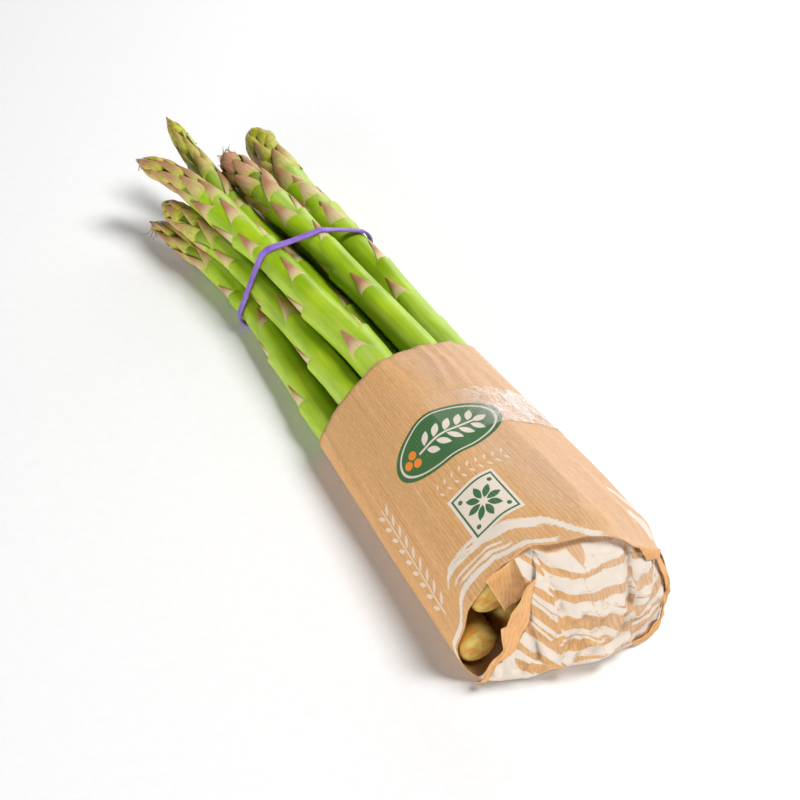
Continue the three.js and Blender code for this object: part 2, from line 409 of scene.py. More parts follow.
@dataclass(frozen=True)
class CutFlesh(Finish):
    """Cut butt: ochre flesh with darker strands and a darker rim."""

    def paint(self, graph: Graph) -> dict[str, Wire]:
        """Strand ends, a fibrous rim and soft browning.

        Args:
            graph: The material's nodes.

        Returns:
            The sockets that change.
        """
        disc = graph.stored("grain", "Vector")
        flat = graph.stretched(disc, (1.0, 1.0, 0.0))
        out = graph.vector("LENGTH", flat, output="Value")
        cells = graph.node("ShaderNodeTexVoronoi", None, {"Vector": flat, "Scale": 1.15})
        brown = graph.noise(flat, 0.35, 3.0)
        fine = graph.noise(flat, 3.2, 3.0, 0.7)
        rim = (out + (fine - 0.5) * 1.6).step(4.9, 6.0)
        colour = graph.layers(
            graph.mix(brown.step(0.35, 0.65), srgb(216, 188, 98), srgb(208, 144, 60)),
            (cells.step(0.2, 0.08) * 0.16, srgb(140, 120, 50)),
            (fine.step(0.5, 0.75) * 0.3, srgb(222, 206, 136)),
            (rim * 0.3, srgb(140, 134, 52)),
        )
        pores = fine - cells.step(0.24, 0.08) * 0.5
        return self.surface(graph, colour, 0.42 + 0.2 * fine, pores, 0.00025)


@dataclass(frozen=True)
class Dry(Finish):
    """Withered threads at the tips."""

    def paint(self, graph: Graph) -> dict[str, Wire]:
        """Straw with darker lengths.

        Args:
            graph: The material's nodes.

        Returns:
            The sockets that change.
        """
        place = graph.place()
        tone = graph.noise(place, 900.0, 2.0)
        colour = graph.mix(tone, srgb(112, 82, 52), srgb(186, 160, 112))
        return {"Base Color": colour, "Roughness": 0.6 + 0.2 * tone}


@dataclass(frozen=True)
class Elastic(Finish):
    """Violet rubber with a faint bloom."""

    def paint(self, graph: Graph) -> dict[str, Wire]:
        """Bloom, specks and slight ridges along the strip.

        Args:
            graph: The material's nodes.

        Returns:
            The sockets that change.
        """
        place = graph.place()
        bloom = graph.noise(place, 160.0, 3.0)
        grit = graph.noise(place, 1500.0, 2.0)
        lines = graph.noise(place, (60.0, 2600.0, 60.0), 1.0)
        colour = graph.mix(bloom.step(0.3, 0.7), srgb(122, 84, 178), srgb(148, 112, 204))
        colour = graph.mix(grit.step(0.55, 0.75) * 0.35, colour, srgb(186, 160, 226))
        return self.surface(graph, colour, 0.38 + 0.2 * bloom, lines * 0.6 + grit * 0.4, 0.00006)


class Side(Enum):
    """Which face of the kraft sheet shows."""

    TUBE = "tube"
    FLAP = "flap"
    BARE = "bare"


@dataclass(frozen=True)
class Kraft(Finish):
    """Ribbed brown kraft paper, printed or bare. The paper map is in millimetres."""

    side: Side = Side.BARE
    pitch: float = 1.05  # from rib to rib

    def paint(self, graph: Graph) -> dict[str, Wire]:
        """Ribs, fibres, soft blotches, a painted sheen that pales printed sheets towards their right, and
        the print.

        Args:
            graph: The material's nodes.

        Returns:
            The sockets that change.
        """
        flat = graph.sheet("paper")
        parts = graph.parts(flat)
        across, along = parts, parts["Y"]
        weave = graph.noise(flat, (0.5, 0.02, 1.0), 2.0)
        strength = graph.noise(flat, (0.3, 0.06, 1.0), 2.0)
        rib = graph.math("SINE", (across + weave * 0.9) * (FULL_TURN / self.pitch))
        rib = (rib * 0.5 + 0.5) * (0.1 + strength * 1.2)
        fibre = graph.noise(flat, (2.6, 0.35, 1.0), 4.0, 0.65)
        blotch = graph.noise(flat, (0.05, 0.035, 1.0), 3.0)
        if self.side is Side.BARE:
            warm, dark, soft = srgb(220, 162, 100), srgb(196, 136, 78), srgb(226, 176, 122)
            pale = blotch.step(0.3, 0.7)
        else:
            # Printed sheets: soft is a pinker pale, and pale lays it on towards the sheet's right as a
            # painted sheen from the light on that side, broken up by blotches.
            warm, dark, soft = srgb(208, 160, 106), srgb(178, 128, 80), srgb(206, 170, 138)
            pale = (across * 0.022 + (blotch - 0.5) * 1.6).step(-0.35, 0.4)
        streak = graph.noise(flat, (0.8, 0.014, 1.0), 3.0, 0.6)
        paper = graph.layers(
            graph.mix(pale, warm, soft),
            (streak.step(0.53, 0.7) * 0.4, dark),
            (streak.step(0.46, 0.3) * 0.3, srgb(232, 196, 156)),
            (rib.step(0.15, 1.0) * 0.38, dark),
            (fibre.step(0.5, 0.75) * 0.45, srgb(236, 204, 166)),
            (fibre.step(0.45, 0.26) * 0.55, srgb(160, 112, 66)),
        )
        if self.side is Side.TUBE:
            paper = TubePrint(graph, across, along, fibre, rib).over(paper)
        if self.side is Side.FLAP:
            paper = FlapPrint(graph, across, along, fibre, rib).over(paper)
        return self.surface(graph, paper, 0.62 + 0.2 * fibre, rib * 0.3 + fibre * 0.7, 0.00006)


WHITE_INK = srgb(219, 207, 193)
GREEN_INK = srgb(50, 100, 58)
ORANGE_INK = srgb(226, 132, 44)


@dataclass
class Print:
    """Ink on the sheet, from its flat coordinates in millimetres."""

    graph: Graph
    across: Wire
    along: Wire
    fibre: Wire
    rib: Wire

    def ragged(self, amount: float, stretch: tuple[float, float]) -> Wire:
        """A wander of an edge.

        Args:
            amount: How far it goes either way, in millimetres.
            stretch: Waves to the millimetre, across and along the sheet.

        Returns:
            The distance.
        """
        flat = self.graph.sheet("paper")
        wander = self.graph.noise(flat, (*stretch, 1.0), 3.0, 0.6)
        return (wander - 0.5) * (2.0 * amount)

    def band(self, value: Wire, low: float, high: float, soft: float = 0.25) -> Wire:
        """1 where a value lies between two others."""
        return value.step(low - soft, low + soft) * value.step(high + soft, high - soft)

    def disc(self, x: float, y: float, half_x: float, half_y: float) -> Wire:
        """Distance from a centre, 1 at the ellipse's edge.

        Args:
            x: Middle of the ellipse across the sheet.
            y: Middle along the sheet.
            half_x: Half its width.
            half_y: Half its height.

        Returns:
            The distance.
        """
        dx = (self.across - x) * (1.0 / half_x)
        dy = (self.along - y) * (1.0 / half_y)
        return self.graph.math("SQRT", dx * dx + dy * dy)

    def turned(self, x: float, y: float, angle: float) -> tuple[Wire, Wire]:
        """Distances along and beside a line through a point.

        Args:
            x: The point across the sheet.
            y: The point along the sheet.
            angle: The line's direction, in degrees from across.

        Returns:
            The two distances.
        """
        turn = math.radians(angle)
        dx, dy = self.across - x, self.along - y
        run = dx * math.cos(turn) + dy * math.sin(turn)
        return run, dy * math.cos(turn) - dx * math.sin(turn)

    def leaf(self, x: float, y: float, angle: float, length: float, width: float) -> Wire:
        """A pointed leaf: 1 inside.

        Args:
            x: Middle of the leaf across the sheet.
            y: Middle along the sheet.
            angle: Its direction, in degrees from across.
            length: Its length.
            width: Its width.

        Returns:
            The mask.
        """
        run, off = self.turned(x, y, angle)
        share = run * (2.0 / length)
        edge = (1.0 - share * share) * (width / 2.0)
        return (edge - abs(off)).step(0.0, 0.18)

    def dab(self, x: float, y: float, angle: float, length: float, width: float) -> Wire:
        """A dry brush mark, streaky along its length: 1 inside.

        Args:
            x: Middle of the mark across the sheet.
            y: Middle along the sheet.
            angle: Its direction, in degrees from across.
            length: Its length.
            width: Its width.

        Returns:
            The mask.
        """
        run, off = self.turned(x, y, angle)
        spot = self.graph.pair(run, off)
        streak = self.graph.noise(spot, (0.1, 1.5, 1.0), 3.0, 0.6)
        ends = self.band(run + (streak - 0.5) * length * 1.1, -0.5 * length, 0.5 * length, 0.4)
        sides = self.band(off + (streak - 0.5) * 1.2, -0.5 * width, 0.5 * width, 0.2)
        return ends * sides * streak.step(0.36, 0.46)

    def ink(self, paper: Wire, mask: Wire, colour: Rgb) -> Wire:
        """Lays an ink that the ribs and fibres break up a little."""
        grip = 0.98 - self.fibre.step(0.62, 0.8) * 0.35 - self.rib.step(0.5, 1.2) * 0.12
        return self.graph.mix(mask * grip, paper, colour)


class TubePrint(Print):
    """Print on the tube: a green oval with a sprig, a rosette panel and brush strokes."""

    fine_strokes = ((5.0, 5.8, -30, -14), (3.1, 4.0, -28, -12), (0.6, 2.3, -47, -3))  # from, to; first, last
    dabs = ((31.2, 15.0, -58.0, 11.0, 2.6), (30.4, 5.2, -58.0, 11.0, 3.6))

    def over(self, paper: Wire) -> Wire:
        """Lays every ink over the paper.

        Args:
            paper: The bare paper's colour.

        Returns:
            The printed paper's colour.
        """
        for part in (self.strokes, self.garland, self.panel, self.plaque):
            paper = part(paper)
        return paper

    def plaque(self, paper: Wire) -> Wire:
        """An oval with a keyline, a leafy sprig and three dots.

        Args:
            paper: The paper's colour so far.

        Returns:
            The colour with this print on it.
        """
        x, y = -6.7, 55.9
        oval = self.disc(x, y, 20.0, 9.8)
        paper = self.ink(paper, oval.step(1.0, 0.975), GREEN_INK)
        paper = self.ink(paper, self.band(oval, 0.86, 0.9, 0.012), WHITE_INK)
        mark = self.band(self.along - y, -0.35, 0.35, 0.1) * self.band(self.across - x, -10.0, 11.0)
        for step in range(5):
            middle = x - 7.4 + 4.0 * step
            size = 5.6 - 0.35 * abs(step - 2)
            for side in (-1, 1):
                mark = mark | self.leaf(middle + 1.7, y + side * 2.6, side * 48.0, size, 2.4)
        mark = mark | self.leaf(x + 12.4, y, 0.0, 5.2, 2.5)
        paper = self.ink(paper, mark, WHITE_INK)
        for dx, dy in ((-12.0, 1.7), (-12.0, -1.7), (-14.8, 0.0)):
            berry = self.disc(x + dx, y + dy, 1.5, 1.5).step(1.0, 0.9)
            paper = self.ink(paper, berry, ORANGE_INK)
        return paper

    def panel(self, paper: Wire) -> Wire:
        """A white panel with a green rosette inside a thin frame.

        Args:
            paper: The paper's colour so far.

        Returns:
            The colour with this print on it.
        """
        x, y = -11.0, 28.0
        reach = abs(self.across - x) * 1.06 | abs(self.along - y)
        paper = self.ink(paper, reach.step(8.5, 8.3), WHITE_INK)
        mark = self.band(reach, 6.9, 7.5, 0.08)
        for step in range(8):
            angle = 45.0 * step
            dx, dy = math.cos(math.radians(angle)), math.sin(math.radians(angle))
            mark = mark | self.leaf(x + 3.3 * dx, y + 3.3 * dy, angle, 4.6, 2.2)
        for step in range(4):
            angle = math.radians(45.0 + 90.0 * step)
            dot = self.disc(x + 7.2 * math.cos(angle), y + 7.2 * math.sin(angle), 0.75, 0.75)
            mark = mark | dot.step(1.0, 0.85)
        return self.ink(paper, mark, GREEN_INK)

    def garland(self, paper: Wire) -> Wire:
        """Fine white leaves in two rows under the oval and a sprig down the left side.

        Args:
            paper: The paper's colour so far.

        Returns:
            The colour with this print on it.
        """
        mark = self.band(self.across + 39.0 + self.ragged(0.3, (0.2, 0.2)), -0.25, 0.25, 0.1)
        mark = mark * self.band(self.along, 15.0, 56.0, 0.4)
        for step in range(9):
            low = 17.5 + 4.4 * step
            for side in (-1, 1):
                mark = mark | self.leaf(-39.0 + side * 1.9, low + 1.4, 90.0 - side * 42.0, 4.0, 1.5)
        for line in range(2):
            for step in range(9):
                x = -18.5 + 2.7 * step
                y = 42.6 - 3.0 * line - 0.2 * step
                mark = mark | self.leaf(x, y, 62.0 - 124.0 * line, 2.3, 0.9)
        return self.ink(paper, mark * 0.8, WHITE_INK)

    def strokes(self, paper: Wire) -> Wire:
        """Dry white strokes that follow the open end.

        Args:
            paper: The paper's colour so far.

        Returns:
            The colour with this print on it.
        """
        rim = self.graph.stored("rim")
        across = self.across + self.ragged(2.0, (0.1, 1.6))
        dry = self.ragged(0.6, (0.16, 0.3)) + self.ragged(0.45, (0.12, 2.2))
        fall = self.graph.math("MINIMUM", across + 8.0, 0.0) * 0.2 * across.step(-37.0, -26.0)
        line = rim + across.step(-3.0, 6.0) * 9.0 + fall + dry
        thin = across.step(-24.0, -33.0) * (1.4 + self.ragged(1.2, (0.3, 1.6)))
        mask = self.band(line - thin, 7.4, 20.0) * self.band(line + thin, 0.0, 11.0)
        strands = self.graph.pair(across * 0.09, line * 1.1)
        strands = self.graph.noise(strands, 1.0, 3.0, 0.6) + across.step(-22.0, -12.0) * 0.09
        mask = mask * self.band(across, -33.0, 7.0, 1.0) * strands.step(0.4, 0.46)
        for low, high, first, last in self.fine_strokes:
            stroke = self.band(line, low, high, 0.15) * self.band(across, first, last, 1.2)
            mask = mask | stroke
        for dab in self.dabs:
            mask = mask | self.dab(*dab)
        return self.ink(paper, mask, WHITE_INK)


class FlapPrint(Print):
    """Print on the folded end: broad white bands in shallow arcs."""

    gaps = (  # bare lines between the bands: height, half width and how much the width wanders
        (2.6, 1.5, 0.8), (10.2, 1.7, -1.2), (13.6, 0.5, 1.4),
        (18.2, 2.0, 1.6), (25.6, 1.2, -1.0), (32.0, 0.9, 0.9),
    )
    patches = (  # bare leaf shapes: x, height, angle, length and width
        (-11.0, 3.6, -16.0, 14.0, 4.6), (-17.6, 6.4, -58.0, 10.0, 3.0), (-9.0, 15.4, 20.0, 5.0, 2.2),
    )

    def over(self, paper: Wire) -> Wire:
        """Lays the bands over the paper.

        Args:
            paper: The bare paper's colour.

        Returns:
            The printed paper's colour.
        """
        bend = self.across - 4.0
        line = self.along - bend * bend * 0.014 + self.ragged(0.9, (0.12, 0.12))
        line = line + self.graph.math("MINIMUM", self.across + 7.0, 0.0) * 0.55
        beyond = self.across - self.along * 0.19 - 10.4 + self.ragged(0.8, (0.3, 0.3))
        line = line + beyond.step(-0.15, 0.15) * 2.9 + (beyond | 0.0) * 0.3
        line = line + (self.across + self.ragged(1.4, (0.3, 0.3))).step(-7.9, -8.2) * 1.7
        below = self.along - self.across * 0.22 - 12.6 + self.ragged(1.2, (0.2, 0.2))
        line = line - below.step(0.15, -0.15) * self.across.step(-4.0, 3.0) * 1.9
        width = self.ragged(1.0, (0.07, 0.16))
        dry = self.ragged(0.35, (0.16, 2.4))
        # Ink cracks along the creases and crumple ridges: partly real cracked ink, partly painted shade
        # along the folds.
        folds_worn_and_shaded = self.graph.stored("wear")
        nicks = self.ragged(1.0, (0.5, 1.6)).step(-0.42, -0.5)
        ink_cracks_and_fold_shade = (folds_worn_and_shaded + self.ragged(0.7, (1.3, 1.3)) - 0.15).step(0.45, 0.75)
        bare = nicks * 0.7 | ink_cracks_and_fold_shade * 0.75
        for level, half, pull in self.gaps:
            gap = abs(line + dry - level) - width * pull
            bare = bare | gap.step(half + 0.2, half - 0.2)
        fold = self.along - 37.7 + abs(self.across - 3.0) * 0.1 + dry
        notch = self.along - 34.2 - abs(self.across - 1.4) * 1.5 + dry
        bare = bare | fold.step(-0.2, 0.2)
        bare = bare | notch.step(-0.2, 0.2)
        for spot in self.patches:
            bare = bare | self.leaf(*spot)
        hair = self.band(line + dry * 0.6, 21.9, 22.3, 0.12) * self.ragged(1.0, (0.1, 0.1)).step(-0.1, 0.1)
        paper = self.ink(paper, 1.0 - bare, WHITE_INK)
        return self.ink(paper, hair * 0.8, srgb(190, 128, 82))


@dataclass(frozen=True)
class Film(Finish):
    """Clear tape: nearly invisible, with a painted milky glare on its wrinkles towards the right."""

    def paint(self, graph: Graph) -> dict[str, Wire]:
        """Wrinkles, small trapped bubbles, and a milky painted glare on them that shows only towards the
        right.

        Args:
            graph: The material's nodes.

        Returns:
            The sockets that change.
        """
        flat = graph.sheet("strip")
        folds = graph.noise(flat, (0.22, 0.1, 1.0), 4.0, 0.6)
        fine = graph.noise(flat, (0.7, 0.5, 1.0), 3.0, 0.6)
        across = graph.parts(flat)
        bent = graph.vector("ADD", flat, graph.pair(folds * 6.0, fine * 3.0))
        pocket = {"Vector": graph.stretched(bent, (0.2, 0.13, 1.0)), "Scale": 1.0}
        lid = graph.node("ShaderNodeTexVoronoi", None, pocket, "Color")
        seam = graph.node("ShaderNodeTexVoronoi", {"feature": "DISTANCE_TO_EDGE"}, pocket)
        air = graph.parts(lid)["Y"].step(0.4, 0.75)
        ridges = seam.step(0.05, 0.01) | abs(folds - 0.5).step(0.03, 0.0) * 0.7
        # Painted glare: the milky whiteness on wrinkles and bubbles shows only on the right part of the
        # strip, where the light catches the film.
        glare = across.step(-2.0, -22.0)
        colour = graph.mix(fine, (0.92, 0.86, 0.8), (1.0, 0.98, 0.95))
        haze_and_painted_glare = 0.03 + glare * (0.07 + 0.3 * ridges + 0.22 * air + 0.08 * fine.step(0.5, 0.66))
        surface = self.surface(graph, colour, 0.12 + 0.2 * fine, folds + fine * 0.3, 0.0006)
        return {**surface, "Alpha": haze_and_painted_glare}


@dataclass(frozen=True)
class Ground(Finish):
    """Pale seamless paper under the bundle."""

    def paint(self, graph: Graph) -> dict[str, Wire]:
        """An even white with the faintest tooth, glowing far out so the horizon stays pale.

        Args:
            graph: The material's nodes.

        Returns:
            The sockets that change.
        """
        place = graph.place()
        tooth = graph.noise(place, 300.0, 2.0)
        far = graph.vector("LENGTH", place, output="Value").step(0.4, 1.3)
        return {
            "Emission Color": graph.mix(far, (0.0, 0.0, 0.0), (0.95, 0.95, 0.95)),
            "Base Color": graph.mix(tooth, (0.89, 0.89, 0.89), (0.93, 0.93, 0.93)),
            "Roughness": 0.8 + 0.1 * tooth,
        }


SKIN = Skin("skin", {"Subsurface Weight": 0.12, "Subsurface Radius": (0.9, 1.0, 0.2),
                     "Subsurface Scale": 0.0012, "Specular IOR Level": 0.45})
SCALE = Scale("bract", {"Subsurface Weight": 0.08, "Subsurface Radius": (1.0, 0.8, 0.5),
                        "Subsurface Scale": 0.001, "Specular IOR Level": 0.4})
FLESH = CutFlesh("cut_flesh", {"Specular IOR Level": 0.4})
DRY = Dry("dry_thread", {"Specular IOR Level": 0.2})
RUBBER = Elastic("violet_rubber", {"Specular IOR Level": 0.5})
PRINTED = Kraft("printed_kraft", {"Specular IOR Level": 0.28}, Side.TUBE)
BANDED = Kraft("banded_kraft", {"Specular IOR Level": 0.28}, Side.FLAP)
BARE = Kraft("bare_kraft", {"Specular IOR Level": 0.28}, Side.BARE)
CLEAR = Film("clear_tape_film", {"Specular IOR Level": 0.7, "IOR": 1.48})
GROUND = Ground("pale_ground", {"Specular IOR Level": 0.1, "Emission Strength": 1.0})


# ---- meshes ----


def placed(name: str, data: Any) -> bpy.types.Object:
    """Puts a mesh, curve, light or camera into the scene.

    Args:
        name: The object's name.
        data: What it holds.

    Returns:
        The object.
    """
    made = bpy.data.objects.new(name, data)
    bpy.context.scene.collection.objects.link(made)
    return made


def store(mesh: bpy.types.Mesh, name: str, values: Any) -> None:
    """Keeps a number or a vector on each point of a mesh.

    Args:
        mesh: The mesh.
        name: The value's name.
        values: One number or one vector for each point.
    """
    values = np.asarray(values, np.float32)
    kind, key = ("FLOAT", "value") if values.ndim == 1 else ("FLOAT_VECTOR", "vector")
    mesh.attributes.new(name, kind, "POINT").data.foreach_set(key, values.ravel())


def row(points: Points) -> np.ndarray:
    """Moves points from the working axes to the row's, both in mm."""
    return np.asarray(points, float) + SHIFT


def ease(value: np.ndarray, low: float, high: float) -> np.ndarray:
    """Smooth 0 to 1 between two values, in either order."""
    share = np.clip((value - low) / (high - low), 0.0, 1.0)
    return share * share * (3.0 - 2.0 * share)


def vectors(*parts: Any) -> np.ndarray:
    """Vectors from their parts, which are numbers or arrays."""
    return np.stack(np.broadcast_arrays(*parts), axis=-1)


def wander(points: np.ndarray, seed: int) -> np.ndarray:
    """Smooth value noise from -1 to 1.

    Args:
        points: Positions, in cells of the noise.
        seed: Which noise.

    Returns:
        One value for each point.
    """
    cell = np.floor(points).astype(np.int64)
    part = points - cell
    part = part * part * (3.0 - 2.0 * part)
    total = np.zeros(points.shape[:-1])
    for corner in np.ndindex(2, 2, 2):
        key = (cell + corner) @ np.array([73856093, 19349663, 83492791]) + seed * 2654435761
        key = ((key ^ (key >> 13)) * 1274126177) & 0x7FFFFFFF
        weight = np.prod(np.where(np.array(corner) == 1, part, 1.0 - part), axis=-1)
        total += weight * ((key % 20011) / 10005.0 - 1.0)
    return total


def centripetal(points: np.ndarray, steps: int) -> np.ndarray:
    """Centripetal Catmull-Rom curve through points.

    Args:
        points: The points that it goes through.
        steps: Samples for each span.

    Returns:
        The samples, one a row.
    """
    ends = np.vstack([2 * points[0] - points[1], points, 2 * points[-1] - points[-2]])
    samples = []
    for a, b, c, d in zip(ends, ends[1:], ends[2:], ends[3:]):
        first, middle, last = (np.linalg.norm(q - p) ** 0.5 for p, q in ((a, b), (b, c), (c, d)))
        out = ((b - a) / first - (c - a) / (first + middle) + (c - b) / middle) * middle
        into = ((c - b) / middle - (d - b) / (middle + last) + (d - c) / last) * middle
        t = np.linspace(0.0, 1.0, steps, endpoint=False)[:, None]
        samples.append(b + out * t + (3 * (c - b) - 2 * out - into) * t**2
                       + (2 * (b - c) + out + into) * t**3)
    return np.vstack([*samples, points[-1:]])


def mileage(line: np.ndarray) -> np.ndarray:
    """Distance along a polyline at each of its points."""
    return np.concatenate([[0.0], np.cumsum(np.linalg.norm(np.diff(line, axis=0), axis=1))])


def spaced(points: Points, count: int) -> np.ndarray:
    """Evenly spaced points along a polyline, its corners kept nearly crisp.

    Args:
        points: The corners, three numbers each.
        count: How many points to return.

    Returns:
        The points, one a row.
    """
    line = np.asarray(points, float)
    run = mileage(line)
    at = np.linspace(0.0, run[-1], count)
    return np.stack([np.interp(at, run, line[:, k]) for k in range(3)], axis=-1)


@dataclass
class Sheet:
    """A grid of points, closed round or open, that becomes a mesh."""

    points: np.ndarray  # rows, columns, xyz, in mm
    round: bool = False
    wall: float = 0.28  # thickness, in mm

    def corners(self) -> tuple[np.ndarray, np.ndarray]:
        """Row and column of every quad's corners, where a round sheet's first column comes back at the end.

        Returns:
            Two arrays of four columns.
        """
        rows, columns = self.points.shape[:2]
        i, j = np.indices((rows - 1, columns if self.round else columns - 1))
        down, over = vectors(i, i, i + 1, i + 1), vectors(j, j + 1, j + 1, j)
        return down.reshape(-1, 4), over.reshape(-1, 4)

    def faces(self) -> np.ndarray:
        """Corner numbers of every quad.

        Returns:
            Four columns.
        """
        down, over = self.corners()
        columns = self.points.shape[1]
        return down * columns + over % columns

    def piece(
        self, name: str, finish: Finish, flat: np.ndarray, map_name: str = "paper"
    ) -> bpy.types.Object:
        """The sheet as an object with one map and a closed wall.

        Args:
            name: The piece's name.
            finish: Its finish.
            flat: Map coordinates by row and column, with one more column on a round sheet.
            map_name: The map's name.

        Returns:
            The object.
        """
        piece = new_piece(name, self.points.reshape(-1, 3), self.faces(), [finish])
        down, over = self.corners()
        layer = piece.data.uv_layers.new(name=map_name)
        layer.data.foreach_set("uv", flat[down, over].astype(np.float32).ravel())
        thicken(piece, self.wall)
        return piece


def new_piece(
    name: str,
    points: np.ndarray,
    faces: Sequence[Sequence[int]],
    finishes: Sequence[Finish],
) -> bpy.types.Object:
    """A smooth mesh object at the origin.

    Args:
        name: The piece's name.
        points: Its vertices, in mm in the row's axes.
        faces: Its faces.
        finishes: Its material slots.

    Returns:
        The object.
    """
    mesh = bpy.data.meshes.new(name)
    mesh.from_pydata((np.asarray(points) * MM).tolist(), [], [list(map(int, f)) for f in faces])
    mesh.polygons.foreach_set("use_smooth", [True] * len(mesh.polygons))
    for finish in finishes:
        mesh.materials.append(finish.material())
    return placed(name, mesh)


def keep(piece: bpy.types.Object, slot: str, *nodes: str) -> None:
    """Rides a finished piece on the bundle, in place of CAD nodes.

    Args:
        piece: The object.
        slot: The record's material slot; not used.
        nodes: The nodes that it stands for.
    """
    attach(piece, "root")
    if nodes:
        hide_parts(*nodes)
    LOG.info("%s: %d faces", piece.name, len(piece.data.polygons))


def thicken(piece: bpy.types.Object, thickness: float) -> None:
    """Gives a sheet a closed wall behind its face.

    Args:
        piece: The sheet.
        thickness: The wall, in mm.
    """
    wall = piece.modifiers.new("wall", "SOLIDIFY")
    wall.thickness = thickness * MM
    wall.offset = -1.0
    wall.use_rim = True
    wall.use_even_offset = False


class Tool:
    """A geometry node tree with named inputs, run over one object at a time."""

    def __init__(self, name: str, inputs: dict[str, tuple[str, Any]]) -> None:
        """Makes the tree's interface.

        Args:
            name: The tree's name.
            inputs: Socket type and default value by name.
        """
        self.tree = bpy.data.node_groups.new(name, "GeometryNodeTree")
        self.graph = Graph(self.tree)
        sockets = self.tree.interface
        sockets.new_socket("Geometry", in_out="INPUT", socket_type="NodeSocketGeometry")
        sockets.new_socket("Geometry", in_out="OUTPUT", socket_type="NodeSocketGeometry")
        self.keys: dict[str, str] = {}
        for label, (kind, value) in inputs.items():
            socket = sockets.new_socket(label, in_out="INPUT", socket_type=f"NodeSocket{kind}")
            if value is not None:
                socket.default_value = value
            self.keys[label] = socket.identifier
        self.given = self.graph.node("NodeGroupInput")

    def add(self, kind: str, values: dict[int | str, Any] | None = None, **settings: Any) -> Wire:
        """Adds a geometry node, with its own properties by name."""
        return self.graph.node("GeometryNode" + kind, settings, values)

    def value(self, name: str, kind: str = "FLOAT") -> Wire:
        """A named attribute of the geometry."""
        return self.add("InputNamedAttribute", {"Name": name}, data_type=kind)["Attribute"]

    def finish(self, geometry: Wire) -> None:
        """Ends the tree: instances made real, material set.

        Args:
            geometry: What the tree has made.
        """
        solid = self.add("RealizeInstances", {0: geometry})
        dressed = self.add("SetMaterial", {0: solid, "Material": self.given["Material"]})
        self.graph.node("NodeGroupOutput", None, {0: dressed})

    def run(self, source: bpy.types.Object, name: str, values: dict[str, Any]) -> bpy.types.Object:
        """Runs the tree over an object and keeps the result as a plain mesh.

        Args:
            source: The object that it reads, which is removed afterwards.
            name: The new piece's name.
            values: The inputs, by name.

        Returns:
            The new object.
        """
        modifier = source.modifiers.new("tool", "NODES")
        modifier.node_group = self.tree
        for label, value in values.items():
            modifier[self.keys[label]] = value
        depsgraph = bpy.context.evaluated_depsgraph_get()
        mesh = bpy.data.meshes.new_from_object(
            source.evaluated_get(depsgraph), preserve_all_data_layers=True, depsgraph=depsgraph
        )
        source.modifiers.remove(modifier)
        bpy.data.objects.remove(source)
        mesh.name = name
        mesh.polygons.foreach_set("use_smooth", [True] * len(mesh.polygons))
        return placed(name, mesh)


# ---- spears ----


class Axis:
    """Centreline of a spear, from the tip, with its outer radius."""

    def __init__(self, path: Points, radii: Sequence[float], head: Sequence[float]) -> None:
        """Samples the curve.

        Args:
            path: Points from the butt to the tip, in the working axes.
            radii: Radius at the butt, at the sleeve's mouth and at the band.
            head: Length, radius and roundness of the head.
        """
        self.line = centripetal(row(path), 48)[::-1]
        self.run = mileage(self.line)
        self.length = float(self.run[-1])
        self.head = head
        starts = [self.length, self.where(MOUTH + 3.0), self.where(BAND), head[0]]
        self.girth = np.array(sorted(zip(starts, [*radii, head[1]])))

    def where(self, y: float) -> float:
        """Distance from the tip at which the line passes a working y."""
        return float(np.interp(-(y + SHIFT[1]), -self.line[:, 1], self.run))

    def centre(self, s: np.ndarray) -> np.ndarray:
        """Points of the line at distances from the tip."""
        return np.stack([np.interp(s, self.run, self.line[:, k]) for k in range(3)], axis=-1)

    def frame(self, s: np.ndarray) -> tuple[np.ndarray, np.ndarray, np.ndarray]:
        """Direction to the tip, to the right and up, at distances from the tip.

        Args:
            s: The distances.

        Returns:
            Three arrays of unit vectors.
        """
        ahead = self.centre(np.maximum(s - 1.5, 0.0)) - self.centre(np.maximum(s + 1.5, 1.5))
        ahead /= np.linalg.norm(ahead, axis=-1, keepdims=True)
        side = np.cross(ahead, [0.0, 0.0, 1.0])
        side /= np.linalg.norm(side, axis=-1, keepdims=True)
        return ahead, side, np.cross(side, ahead)

    def envelope(self, s: np.ndarray) -> np.ndarray:
        """Outer radius at distances from the tip.

        Args:
            s: The distances.

        Returns:
            One radius for each.
        """
        length, radius, roundness = self.head
        inside = np.clip(s / length, 0.0, 1.0)
        dome = radius * (1.0 - (1.0 - inside) ** 2) ** roundness
        shaft = np.interp(s, self.girth[:, 0], self.girth[:, 1])
        return np.where(s < length, np.maximum(dome, 0.5), shaft)


class Detail(Enum):
    """How finely a spear is made: sides of the stalk, and mm from ring to ring."""

    FULL = (72, 0.7)
    PLAIN = (36, 1.6)


@dataclass
class Bract:
    """One scale leaf: where its foot is and how big it is."""

    root: float  # mm from the tip
    turn: float  # degrees, 0 to the right and 90 on top
    reach: float  # mm long
    span: float  # half width, degrees
    young: float  # 1 in the head, 0 low on the stalk


